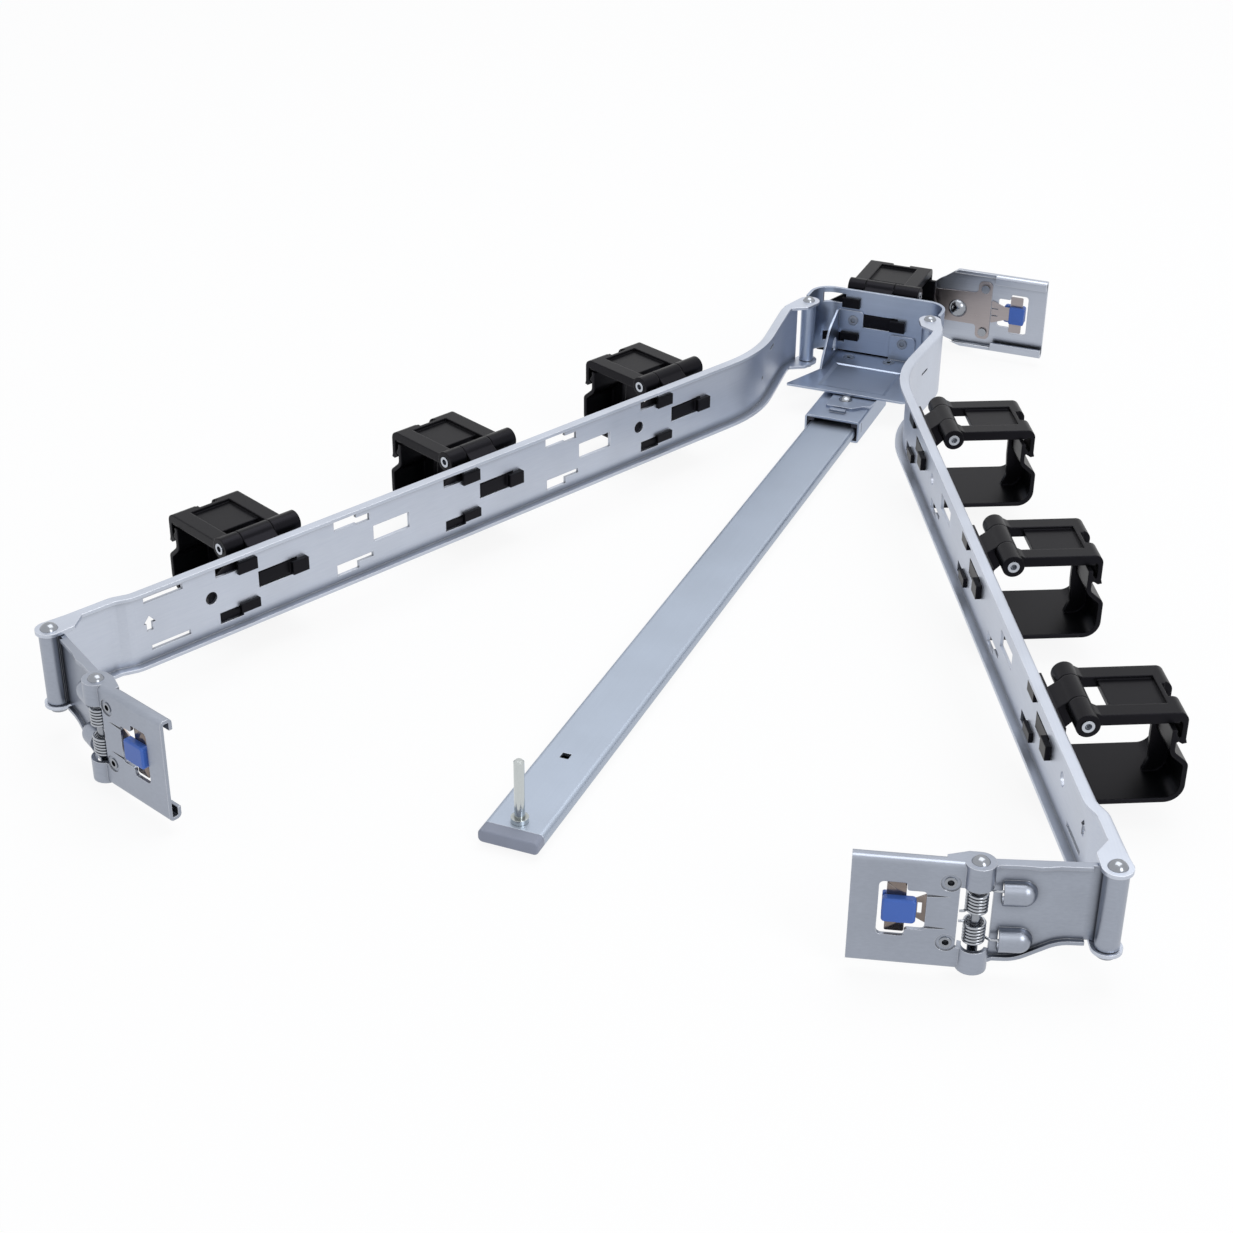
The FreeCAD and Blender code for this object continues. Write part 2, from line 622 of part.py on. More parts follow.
def basket_pin():
    """Bright hinge pin with a drilled end that shows at each side of the lid."""
    low = BASKET_FROM - PIN_REACH
    pin = Part.makeCylinder(HINGE_PIN_R, BASKET_TO - BASKET_FROM + 2 * PIN_REACH,
                            V(low, HINGE_OUT, HINGE_LEVEL), V(1, 0, 0))
    for start, way in ((low, 1), (BASKET_TO + PIN_REACH, -1)):
        pin = pin.cut(Part.makeCylinder(PIN_DRILL_R, 1.6, V(start, HINGE_OUT, HINGE_LEVEL), V(way, 0, 0)))
    return pin


def make_basket(prefix, seat):
    save(prefix + "_body", seat.put(basket_body()))
    save(prefix + "_lid", seat.put(basket_lid()))
    save(prefix + "_pin", seat.put(basket_pin()))


def make_arm(side, seat, forward):
    save(side + "_arm", seat.put(arm_shape(forward)))
    save(side + "_elbow_pin", seat.put(elbow_pin()))
    save(side + "_arm_pin", seat.seat(ARM_LENGTH, 0, 0).put(arm_pin()))
    for number, station in enumerate(BASKET_STATIONS, 1):
        make_basket("%s_basket_%d" % (side, number), station_seat(station, seat, forward))


def pocket_core(radius, level):
    """Round bar with a ball end, laid along X in the web's front face."""
    axis_y = LINK_SHEET - LINK_TUBE_R
    start = V(SCOOP_END + SCOOP_R, axis_y, level)
    bar = Part.makeCylinder(radius, SCOOP_OPEN - start.x, start, V(1, 0, 0))
    return bar.fuse(Part.makeSphere(radius, start))


def link_scoop(level):
    """Raised pocket in the link plate and the hollow behind it; it opens toward the connector's pin."""
    front = LINK_SHEET - LINK_TUBE_R
    room = box(SCOOP_END - 1, SCOOP_OPEN, front - 0.2, front + SCOOP_R + 1, level - 8, level + 8)
    return pocket_core(SCOOP_R, level).common(room), pocket_core(SCOOP_R - SCOOP_SHEET, level)


def link_plate():
    """Pressed link: rolled tube on the arm's pin, web with two pockets, flanges ending in ears."""
    back = -LINK_TUBE_R
    front = LINK_SHEET - LINK_TUBE_R
    top = ARM_HEIGHT - EAR_ROOM
    end = LINK_LENGTH - LINK_END_ROOM
    tube = ring(LINK_TUBE_R, LINK_TUBE_R - LINK_SHEET, EAR_ROOM, top)
    slit = box(1.2, LINK_TUBE_R + 0.5, -0.15, 0.15, EAR_ROOM - 1, top + 1)
    slit.rotate(ORIGIN, UP, -18)
    tube = tube.cut(slit)
    notch = LINK_NOTCH
    rise = LINK_NOTCH_RISE
    knee = (LINK_KNEE, rise)
    foot = (LINK_FOOT, LINK_LOW)
    curve = LINK_CURVE
    web = upright([(0, EAR_ROOM), (notch, EAR_ROOM), (notch, rise), knee, foot, (end, LINK_LOW),
                   (end, top), (0, top)], back, front, [0, 0, 0, curve, curve, 0, 0, 0])
    lower = band([(notch, rise), knee, foot, (end, LINK_LOW)], [0, curve, curve, 0],
                 0, LINK_FLANGE_SHEET, -back - LINK_FLANGE, -back)
    lower.rotate(ORIGIN, V(1, 0, 0), 90)
    edge = back + LINK_FLANGE
    upper = plate([(notch, back), (end, back), (end, edge), (24, edge), (20, edge + 0.5),
                   (15, edge - 0.3), (notch, edge - 0.3)], top - LINK_FLANGE_SHEET, top,
                  [0, 0, 0, 2, 2, 2, 0])
    pieces = [web, lower, upper]
    for low in (LINK_LOW, top - LINK_FLANGE_SHEET):
        high = low + LINK_FLANGE_SHEET
        pieces.append(rod(LINK_EAR_R, low, high, LINK_LENGTH, 0))
        pieces.append(plate([(end - 1, back), (end + 1.6, back), (LINK_LENGTH - 0.5, -LINK_EAR_R),
                             (LINK_LENGTH - 2.2, 1.5), (end - 1, edge)], low, high))
    scoops = [link_scoop(level) for level in SCOOP_LEVELS]
    link = join(tube, *pieces, *[scoop[0] for scoop in scoops])
    for scoop in scoops:
        link = link.cut(scoop[1])
    return link.cut(rod(CONNECTOR_PIN_R + PIN_FIT, LINK_LOW - 1, top + 1, LINK_LENGTH, 0))


def torsion_spring(low, short_leg_top):
    """Close-wound coil on the connector's pin with a long leg to the pocket and a short one."""
    pitch = SPRING_WIRE * 1.15
    inner = SPRING_R - SPRING_WIRE
    outline = [V(inner, 0, low)]
    for turn in range(SPRING_TURNS):
        base = low + turn * pitch
        outline.append(V(SPRING_R - 0.35, 0, base))
        outline.append(V(SPRING_R, 0, base + pitch / 2))
    top = low + SPRING_TURNS * pitch
    outline += [V(SPRING_R - 0.35, 0, top), V(inner, 0, top), V(inner, 0, low)]
    coil = Part.Face(Part.makePolygon(outline)).revolve(ORIGIN, UP, 360)
    wire = SPRING_WIRE / 2
    reach = SPRING_R - wire
    leg_x = -math.sqrt(reach ** 2 - SPRING_LEG_Y ** 2)
    levels = (low + wire + SEAT_GAP, top - wire - SEAT_GAP)
    long_level, short_level = levels if short_leg_top else levels[::-1]
    long_leg = Part.makeCylinder(wire, SPRING_LEG, V(leg_x, SPRING_LEG_Y, long_level), V(-1, 0, 0))
    short_leg = Part.makeCylinder(wire, SPRING_SHORT_LEG, V(reach, 0, short_level), V(1, 0, 0))
    return coil.fuse([long_leg, short_leg])


def channel(x0, x1, low, lips_from):
    """Plate with rolled-back flanges along X; the lips start at lips_from."""
    high = low + CONNECTOR_HEIGHT
    back = CONNECTOR_FACE - CONNECTOR_DEPTH
    path = [(back, high - CONNECTOR_LIP), (back, high), (CONNECTOR_FACE, high),
            (CONNECTOR_FACE, low), (back, low), (back, low + CONNECTOR_LIP)]
    curve = [0] + [CONNECTOR_ROUND] * 4 + [0]
    shell = band(path, curve, -SHEET, 0, x0, x1)
    shell.rotate(ORIGIN, V(1, 1, 1), 120)
    return shell.cut(box(x0 - 1, lips_from, back - 1, back + SHEET, low - 1, high + 1))


def latch_cuts(rivet_x, mid):
    """Window for the push button and rivet holes, measured from the line of the rivets."""
    near = rivet_x + WINDOW_FROM_RIVET
    far = near + WINDOW_LENGTH
    step = near + WINDOW_STEP
    window = upright([(near, mid - WINDOW_NECK_HALF), (step, mid - WINDOW_NECK_HALF),
                      (step, mid - WINDOW_HALF), (far, mid - WINDOW_HALF), (far, mid + WINDOW_HALF),
                      (step, mid + WINDOW_HALF), (step, mid + WINDOW_NECK_HALF),
                      (near, mid + WINDOW_NECK_HALF)], 0, 5, [1, 0.8, 0.8, 1.5, 1.5, 0.8, 0.8, 1])
    cuts = [window]
    for way in (-1, 1):
        level = mid + way * RIVET_HALF
        cuts.append(cross_rod(RIVET_R + SEAT_GAP, 0, 5, rivet_x, level))
        cuts.append(cross_rod(RIVET_DIMPLE_R, CONNECTOR_FACE - RIVET_DIMPLE, 5, rivet_x, level))
        ramp = mid + way * 4.9
        cuts.append(upright([(near + 0.5, ramp), (near + 0.5, ramp + way * 0.9),
                             (near - 6.5, ramp + way * 0.5)], CONNECTOR_FACE - 0.4, 5))
    return cuts


def leaf_head(rivet_x):
    """Half outline of a leaf's neck and T-shaped head."""
    end = rivet_x + LEAF_END
    bar = end - 5.4
    return [(rivet_x + 9, LEAF_NECK_HALF), (bar, LEAF_NECK_HALF), (bar, LEAF_HALF), (end, LEAF_HALF)]


def leaf_of(half, curve, mid):
    """Leaf of the given half outline, just behind the connector's plate."""
    front = CONNECTOR_FACE - SHEET - SEAT_GAP
    outline = [(x, mid + z) for x, z in half] + [(x, mid - z) for x, z in reversed(half)]
    return upright(outline, front - LEAF_SHEET, front, curve + curve[::-1])


def latch_spring(rivet_x, mid):
    """Leaf with a T-shaped head that springs behind the window."""
    start = rivet_x + LEAF_START
    shoulder = rivet_x + 3.0
    half = [(start, LEAF_BASE_HALF), (shoulder - 0.8, LEAF_BASE_HALF), (shoulder, LEAF_NECK_HALF + 3.4)]
    leaf = leaf_of(half + leaf_head(rivet_x), [1.5, 2.4, 1.5, 1.2, 0.5, 0.5, 0.5], mid)
    for way in (-1, 1):
        leaf = leaf.cut(cross_rod(RIVET_R + 0.2, -1, CONNECTOR_FACE, rivet_x, mid + way * RIVET_HALF))
    return leaf.cut(box(rivet_x + 7.2, rivet_x + 8.4, -1, CONNECTOR_FACE, mid - 1.9, mid + 1.9))


def rear_tongue(rivet_x, mid):
    """Moving half of the rear leaf, which starts beside the fixed strip."""
    start = rivet_x + REAR_STRIP_END + RUN_GAP
    leaf = leaf_of([(start, LEAF_NECK_HALF + 2.2)] + leaf_head(rivet_x), [0.5, 1.2, 0.5, 0.5, 0.5], mid)
    for way in (-1, 1):
        level = mid + way * 1.6
        leaf = leaf.cut(box(start - 1, rivet_x + 6.2, -1, CONNECTOR_FACE, level - 0.25, level + 0.25))
    return leaf


def push_button(rivet_x, mid):
    """Moulded button that clasps the leaf's head and stands through the window."""
    front = CONNECTOR_FACE - SHEET
    leaf_back = front - SEAT_GAP - LEAF_SHEET - SEAT_GAP
    far = rivet_x + LEAF_END + 1.1
    near = far - BUTTON_LENGTH
    half = BUTTON_HEIGHT / 2
    outline = [(near, mid - half), (far, mid - half), (far, mid + half), (near, mid + half)]
    face = upright(outline, front, CONNECTOR_FACE + BUTTON_PROUD, 1.2)
    clasp = upright([(far - 6.6, mid - half), (far, mid - half), (far, mid + half),
                     (far - 6.6, mid + half)], leaf_back - 1.3, leaf_back, 0.6)
    wall = box(far - 1.0, far - 0.2, leaf_back - 0.6, front + 0.6, mid - half + 1.3, mid + half - 1.3)
    rim = [edge for edge in face.Edges
           if abs(edge.CenterOfMass.y - CONNECTOR_FACE - BUTTON_PROUD) < 1e-6]
    return join(face.makeChamfer(0.5, rim), clasp, wall)


def latch_rivets(rivet_x, mid):
    """Two short tubular rivets that hold the leaf with room for it to spring."""
    front = CONNECTOR_FACE - RIVET_DIMPLE
    back = CONNECTOR_FACE - SHEET - SEAT_GAP - LEAF_SHEET
    solids = []
    for way in (-1, 1):
        level = mid + way * RIVET_HALF
        shank = cross_rod(RIVET_R, back - RUN_GAP, front, rivet_x, level)
        head = cross_rod(RIVET_HEAD_R, front, CONNECTOR_FACE - 0.05, rivet_x, level)
        tail = cross_rod(RIVET_TAIL_R, back - RUN_GAP - 0.6, back - RUN_GAP, rivet_x, level)
        hollow = cross_rod(RIVET_R - 0.3, front - 1.3, front + 1, rivet_x, level)
        solids.append(join(shank, head, tail).cut(hollow))
    return Part.makeCompound(solids)


def front_connector():
    """Clip plate that wraps the pin in two knuckles and carries the latch."""
    high = CONNECTOR_LOW + CONNECTOR_HEIGHT
    shell = channel(PLATE_FROM, CONNECTOR_LENGTH, CONNECTOR_LOW, LIPS_FROM)
    shell = shell.cut(box(PLATE_FROM - 1, PLATE_CLEAR, -3, 5, KNUCKLE_LOW_TOP, KNUCKLE_HIGH))
    shell = shell.cut(rod(KNUCKLE_R - SHEET, CONNECTOR_LOW + SHEET, high - SHEET))
    open_side = plate([(0, 0), (-12, 3.2), (-12, -12), (12, -12), (12, -3.4)], CONNECTOR_LOW - 1, high + 1)
    knuckles = []
    for low, top in ((CONNECTOR_LOW + SHEET, KNUCKLE_LOW_TOP), (KNUCKLE_HIGH, high - SHEET)):
        knuckles.append(ring(KNUCKLE_R, KNUCKLE_R - SHEET, low, top).cut(open_side))
    ears = []
    for low in (CONNECTOR_LOW, high - SHEET):
        ears.append(rod(KNUCKLE_R, low, low + SHEET))
        ears.append(plate([(0, -KNUCKLE_R), (3.0, -KNUCKLE_R), (9.0, -2.0), (9.0, 0.8), (2.0, 0.8)],
                          low, low + SHEET))
    connector = join(shell, *knuckles, *ears)
    cuts = latch_cuts(RIVET_FROM_PIN, LATCH_LEVEL)
    cuts.append(rod(CONNECTOR_PIN_R + SEAT_GAP, CONNECTOR_LOW - 1, high + 1))
    for cutter in cuts:
        connector = connector.cut(cutter)
    return connector


def connector_pin():
    high = CONNECTOR_LOW + CONNECTOR_HEIGHT
    return rivet(CONNECTOR_PIN_R, 2.6, 1.6, CONNECTOR_LOW, high, 2.3, 0.6)


def make_front_end(side, link_seat, connector_seat):
    save(side + "_link_plate", link_seat.put(link_plate()))
    pin_seat = link_seat.seat(LINK_LENGTH, 0, 0)
    save(side + "_spring_upper", pin_seat.put(torsion_spring(SPRING_LEVELS[0], False)))
    save(side + "_spring_lower", pin_seat.put(torsion_spring(SPRING_LEVELS[1], True)))
    save(side + "_connector", connector_seat.put(front_connector()))
    save(side + "_connector_pin", connector_seat.put(connector_pin()))
    save(side + "_latch_spring", connector_seat.put(latch_spring(RIVET_FROM_PIN, LATCH_LEVEL)))
    save(side + "_push_button", connector_seat.put(push_button(RIVET_FROM_PIN, LATCH_LEVEL)))
    save(side + "_latch_rivets", connector_seat.put(latch_rivets(RIVET_FROM_PIN, LATCH_LEVEL)))


def rear_outline():
    """Outline of the rear connector's rounded left end and its full-height right end."""
    low = CONNECTOR_LOW + REAR_SHIFT
    high = low + CONNECTOR_HEIGHT
    arc = Part.makeCylinder(REAR_END_R, 20, V(0, -10, REAR_DOME_LEVEL), V(0, 1, 0))
    right = upright([(-11.0, REAR_DOME_LEVEL + 10.9), (-0.5, high), (REAR_LENGTH + 1, high),
                     (REAR_LENGTH + 1, low), (2.5, low), (-4.0, REAR_DOME_LEVEL - 15.0)], -10, 10)
    return arc.fuse(right)


def rear_connector():
    """Clip plate riveted to the bar's bracket by one large dome."""
    low = CONNECTOR_LOW + REAR_SHIFT
    high = low + CONNECTOR_HEIGHT
    mid = (low + high) / 2
    shell = channel(-REAR_END_R, REAR_LENGTH, low, 16.5).common(rear_outline())
    cuts = latch_cuts(REAR_RIVET_X, mid)
    cuts.append(box(-REAR_END_R - 1, REAR_THINNED_TO, CONNECTOR_FACE - REAR_THINNED, CONNECTOR_FACE + 1,
                    low - 1, high + 1))
    cuts.append(cross_rod(REAR_SHANK_R + SEAT_GAP, 0, 5, 0, REAR_DOME_LEVEL))
    for cutter in cuts:
        shell = shell.cut(cutter)
    return shell


def rear_strip():
    """Fixed half of the rear leaf: it lies on the plate under the dome and two tubular rivets."""
    mid = CONNECTOR_LOW + REAR_SHIFT + CONNECTOR_HEIGHT / 2
    front = CONNECTOR_FACE - SHEET - SEAT_GAP
    ear_from = REAR_RIVET_X - REAR_STRIP_EAR
    ear_to = REAR_RIVET_X + REAR_STRIP_END
    reach = RIVET_HALF + REAR_STRIP_EAR
    low = REAR_DOME_LEVEL - REAR_STRIP_LOW
    high = REAR_DOME_LEVEL + REAR_STRIP_HIGH
    strip = upright([(REAR_STRIP_FROM, low), (ear_from, low), (ear_from, mid - reach), (ear_to, mid - reach),
                     (ear_to, mid + reach), (ear_from, mid + reach), (ear_from, high),
                     (REAR_STRIP_FROM, high - 0.8)],
                    front - LEAF_SHEET, front, [1, 1.5, 2.4, 2, 2, 2.4, 1.5, 1])
    strip = strip.cut(cross_rod(REAR_SHANK_R + SEAT_GAP, -1, 5, 0, REAR_DOME_LEVEL))
    for way in (-1, 1):
        strip = strip.cut(cross_rod(RIVET_R + SEAT_GAP, -1, 5, REAR_RIVET_X, mid + way * RIVET_HALF))
    return strip


def rear_bracket():
    """Angle that stands on the bar's rear end and carries the rear connector's dome rivet."""
    seat_y = REAR_FACE_Y + SHEET - REAR_THINNED + SEAT_GAP
    low = BAR_THICK + SEAT_GAP
    base = plate([(-BAR_WIDTH / 2 + 0.5, seat_y), (REAR_DOME_X + 7.5, seat_y),
                  (REAR_DOME_X + 7.5, seat_y + 6), (BAR_WIDTH / 2, seat_y + 12.5),
                  (-BAR_WIDTH / 2 + 0.5, seat_y + 12.5)], low, low + BRACKET_SHEET, [1.5, 0, 2, 3, 2])
    centre = ARM_BASE + REAR_DOME_LEVEL
    stand = upright([(4, low), (REAR_DOME_X + 7.5, low), (REAR_DOME_X + 7.5, centre + 9),
                     (REAR_DOME_X - 8, centre + 9)], seat_y, seat_y + BRACKET_SHEET, [0, 0, 5, 6])
    hole = cross_rod(REAR_SHANK_R + SEAT_GAP, seat_y - 1, seat_y + 4, REAR_DOME_X, centre)
    return join(base, stand).cut(hole)


def rear_dome_rivet():
    """Large dome-headed rivet through the leaf, the plate and the bracket."""
    front = REAR_FACE_Y - LEAF_SHEET - 2 * SEAT_GAP
    rear = REAR_FACE_Y + SHEET - REAR_THINNED + 2 * SEAT_GAP + BRACKET_SHEET
    centre = ARM_BASE + REAR_DOME_LEVEL
    head = dome(REAR_DOME_R, REAR_DOME_RISE, 0)
    head.rotate(ORIGIN, V(1, 0, 0), 90)
    head.translate(V(REAR_DOME_X, front, centre))
    shank = cross_rod(REAR_SHANK_R, front, rear, REAR_DOME_X, centre)
    tail = cross_rod(REAR_SHANK_R + 1.2, rear, rear + 1.2, REAR_DOME_X, centre)
    return join(head, shank, tail)


def bar_section(half, low, high, y0, y1, curve):
    """Rounded rectangular bar along Y."""
    flat = plate([(-half, low), (half, low), (half, high), (-half, high)], -y1, -y0, curve)
    flat.rotate(ORIGIN, V(1, 0, 0), 90)
    return flat


def support_bar():
    half = BAR_WIDTH / 2
    bar = bar_section(half, 0, BAR_THICK, CAP_SEAM, BAR_REAR, BAR_ROUND)
    bar = bar.cut(bar_section(half - BAR_WALL, BAR_WALL, BAR_THICK - BAR_WALL, CAP_SEAM - 1,
                              BAR_REAR + 1, BAR_ROUND - BAR_WALL))
    bar = bar.cut(rod(LOCATING_PIN_R + SEAT_GAP, -1, BAR_THICK + 1))
    reach = KEY_HOLE / 2
    return bar.cut(box(KEY_HOLE_X - reach, KEY_HOLE_X + reach, KEY_HOLE_Y - reach, KEY_HOLE_Y + reach,
                       BAR_THICK - BAR_WALL - 0.5, BAR_THICK + 1))


def bar_end_cap():
    """Plug with a rounded nose that closes the bar's front end."""
    half = BAR_WIDTH / 2
    seam = CAP_SEAM - SEAT_GAP
    nose = bar_section(half, 0, BAR_THICK, seam - CAP_LENGTH, seam, BAR_ROUND)
    front = [edge for edge in nose.Edges if abs(edge.CenterOfMass.y - (seam - CAP_LENGTH)) < 1e-6]
    nose = nose.makeFillet(0.8, front)
    inset = BAR_WALL + SEAT_GAP
    plug = bar_section(half - inset, inset, BAR_THICK - inset, seam - 1, seam + CAP_PLUG,
                       BAR_ROUND - inset)
    return join(nose, plug).cut(rod(LOCATING_PIN_R + 2 * SEAT_GAP, -1, BAR_THICK + 1))


def bar_locating_pin():
    """Pin that locates the bar in the rail; its shank passes the bar and its collar sits on it."""
    top = BAR_THICK + LOCATING_PIN_RISE
    collar = rod(LOCATING_COLLAR_R, BAR_THICK + SEAT_GAP, BAR_THICK + LOCATING_COLLAR_RISE)
    shank = rod(LOCATING_PIN_R, 0, top)
    tip = [edge for edge in shank.Edges if abs(edge.CenterOfMass.z - top) < 1e-6]
    return join(shank.makeChamfer(0.6, tip), collar)


def sleeve_shell(clear, wall, front, rear, top, lip):
    """C-shaped sheet round the bar: the roof, two sides and two lips below."""
    inner = BAR_WIDTH / 2 + clear
    outer = inner + wall
    low = -clear - wall
    body = bar_section(outer, low, top, front, rear, 1.2)
    hollow = bar_section(inner, -clear, top - wall, front - 1, rear + 1, 0.5)
    mouth = box(-outer + lip, outer - lip, front - 1, rear + 1, low - 1, 0)
    return body.cut(hollow).cut(mouth)


def slide_sleeve():
    clear = SLIDE_GAP + LINER_WALL + SEAT_GAP
    top = BAR_THICK + SLEEVE_LIFT
    outer = BAR_WIDTH / 2 + clear + SLEEVE_WALL
    sleeve = sleeve_shell(clear, SLEEVE_WALL, SLEEVE_FRONT, SLEEVE_REAR, top, SLEEVE_LIP)
    stop_rear = TONGUE_FRONT - STOP_ROOM
    stop = box(-STOP_HALF, STOP_HALF, stop_rear - STOP_THICK, stop_rear, top - 0.3, top + TONGUE_THICK + 0.2)
    slit = box(outer - SLEEVE_WALL - 0.1, outer + 1, SLEEVE_FRONT + 3.0, SLEEVE_FRONT + 3.7, 2.0, top - 1.4)
    sleeve = sleeve.fuse(stop).removeSplitter().cut(slit)
    return sleeve.cut(rod(PIVOT_R + SEAT_GAP, top - 2, top + 1, 0, PIVOT_Y))


def sleeve_liner():
    """Plastic runner between the sleeve and the bar, with a ledge along each side."""
    top = BAR_THICK + SLEEVE_LIFT - SLEEVE_WALL - SEAT_GAP
    front = SLEEVE_FRONT + 0.6
    rear = SLEEVE_REAR - 0.6
    liner = sleeve_shell(SLIDE_GAP, LINER_WALL, front, rear, top, SLEEVE_LIP - 0.5)
    inner = BAR_WIDTH / 2 + SLIDE_GAP
    low = BAR_THICK + SLIDE_GAP
    for way in (-1, 1):
        x0, x1 = sorted((way * (inner - LINER_LEDGE), way * (inner + 0.1)))
        liner = liner.fuse(box(x0, x1, front, rear, low, top - LINER_WALL + 0.05))
    return liner.removeSplitter().cut(rod(PIVOT_FOOT_R + 0.4, low, top + 1, 0, PIVOT_Y))


def pivot_rivet():
    """Rivet on which the elbow turns: foot under the sleeve's roof, head on the tongue plate."""
    top = BAR_THICK + SLEEVE_LIFT
    under = top - SLEEVE_WALL - SEAT_GAP
    above = top + SEAT_GAP + TONGUE_THICK + 0.1
    shank = rod(PIVOT_R, under, above)
    foot = rod(PIVOT_FOOT_R, under - PIVOT_FOOT_THICK, under)
    head = dome(PIVOT_HEAD_R, PIVOT_HEAD_RISE, above)
    rivet_shape = join(shank, foot, head)
    rivet_shape.translate(V(0, PIVOT_Y, 0))
    return rivet_shape


def tongue_level():
    return BAR_THICK + SLEEVE_LIFT + SEAT_GAP


def tray_level():
    """Underside of the tray's sunk middle."""
    return tongue_level() + TONGUE_THICK + SEAT_GAP


def tray_rivet_places():
    return [(-11.4, ELBOW_BACK - 6.8), (6.2, ELBOW_BACK - 5.6)]


def web_rivet_places():
    """Rivets through the elbow's web, as X and height."""
    return [(-11.7, ARM_BASE + 14.6), (10.6, ARM_BASE + 7.2)]


def tongue_plate():
    low = tongue_level()
    waist = PAN_FRONT + 13.0
    rear = ELBOW_BACK - SHEET - SEAT_GAP - TRAY_SHEET
    plan = [(-6.2, TONGUE_FRONT), (5.2, TONGUE_FRONT), (8.4, TONGUE_FRONT + 3.4), (11.5, TONGUE_FRONT + 5.0),
            (14.0, waist), (14.0, rear), (-16.0, rear), (-16.0, waist), (-6.2, TRAY_FRONT + 2)]
    tongue = plate(plan, low, low + TONGUE_THICK, [1, 1, 1, 2, 2, 1.5, 1.5, 2, 2])
    tongue = tongue.cut(rod(PIVOT_R + PIN_FIT, low - 1, low + 3, 0, PIVOT_Y))
    for x, y in tray_rivet_places():
        tongue = tongue.cut(rod(FLAT_RIVET_R + SEAT_GAP, low - 1, low + 3, x, y))
    return tongue


def tray_bracket():
    """Pressed tray: pointed wings, sunk middle, rear shelf, two ears and a gusset on the web."""
    low = tray_level()
    border_low = low + TRAY_SINK
    border_top = border_low + TRAY_SHEET
    rear = ELBOW_BACK - SHEET - SEAT_GAP
    plan = [(-TRAY_WING, TRAY_FRONT - 1.0), (TRAY_RIGHT, TRAY_FRONT - 0.2), (TRAY_RIGHT, TRAY_FRONT + 7.6),
            (TRAY_WAIST, TRAY_FRONT + 16.1), (TRAY_WAIST, rear - 8.2), (TRAY_WAIST - 3.6, rear),
            (TRAY_SIDE, rear), (TRAY_SIDE, TRAY_FRONT + 19.1)]
    tray = plate(plan, border_low, border_top, [0.6, 2, 3, 6, 3, 0, 0, 7])
    sunk = (-PAN_HALF, PAN_HALF, PAN_FRONT, PAN_REAR)
    wide = (-PAN_HALF - PAN_SLOPE, PAN_HALF + PAN_SLOPE, PAN_FRONT - PAN_SLOPE, PAN_REAR + PAN_SLOPE / 2)
    under = (sunk[0] - 0.8, sunk[1] + 0.8, sunk[2] - 0.8, sunk[3] + 0.4)
    tray = tray.fuse(tapered(under, wide, low, border_low + 0.3))
    tray = tray.cut(tapered(sunk, wide, low + TRAY_SHEET, border_top + 0.01))
    front = rear - TRAY_SHEET
    first, second = web_rivet_places()
    top = first[1] + 4.4
    ear = upright([(TRAY_SIDE, first[1] - 4.2), (first[0] + 4.4, first[1] - 4.2), (first[0] + 4.4, top),
                   (TRAY_SIDE, top)], front, rear, [0, 1.6, 1.6, 0])
    low_ear = upright([(second[0] - 5.8, border_low), (second[0] + 5.6, border_low),
                       (second[0] + 5.6, second[1] + 3.4), (second[0] - 5.8, second[1] + 3.4)],
                      front, rear, [0, 0, 1.8, 1.8])
    gusset = section([(rear - 23.0, border_low), (rear, border_low), (rear, top), (rear - 2.0, top),
                      (rear - 13.2, top - 5.0), (rear - 21.2, border_low + 4.6)],
                     TRAY_SIDE, TRAY_SIDE + TRAY_SHEET, [0, 0, 0, 1.5, 12, 9])
    hole_low = border_top + 1.7
    hole = section([(rear - 9.2, hole_low), (rear - 3.7, hole_low), (rear - 3.7, hole_low + 6),
                    (rear - 7.2, hole_low + 6)], TRAY_SIDE - 1, TRAY_SIDE + 2, 1.2)
    tray = join(tray, ear, low_ear, gusset).cut(hole)
    for x, y in tray_rivet_places():
        tray = tray.cut(rod(FLAT_RIVET_R + SEAT_GAP, low - 1, border_top + 1, x, y))
        sink = Part.makeCone(FLAT_RIVET_R + SEAT_GAP, FLAT_RIVET_R + 1.2, 0.6, V(x, y, border_top - 0.59))
        tray = tray.cut(sink)
    for x, z in (first, second):
        tray = tray.cut(cross_rod(EAR_RIVET_R + SEAT_GAP, front - 1, rear + 1, x, z))
    return tray


def tray_rivets():
    """Two flush rivets through tray and tongue, and two through the tray's ears and the web."""
    low = tongue_level()
    border_top = tray_level() + TRAY_SINK + TRAY_SHEET
    solids = []
    for x, y in tray_rivet_places():
        shank = rod(FLAT_RIVET_R, low, border_top - 0.4, x, y)
        head = Part.makeCone(FLAT_RIVET_R - 0.05, FLAT_RIVET_R + 0.95, 0.55, V(x, y, border_top - 0.58))
        solids.append(join(shank, head).cut(rod(0.8, border_top - 0.9, border_top + 1, x, y)))
    face = ELBOW_BACK - SHEET - SEAT_GAP - TRAY_SHEET - SEAT_GAP
    for x, z in web_rivet_places():
        shank = cross_rod(EAR_RIVET_R, face, ELBOW_BACK - 0.1, x, z)
        head = cross_rod(EAR_RIVET_R + 0.9, face - 0.5, face, x, z)
        dimple = cross_rod(EAR_RIVET_R - 0.3, face - 2, face - 0.15, x, z)
        solids.append(join(shank, head).cut(dimple))
    return Part.makeCompound(solids)


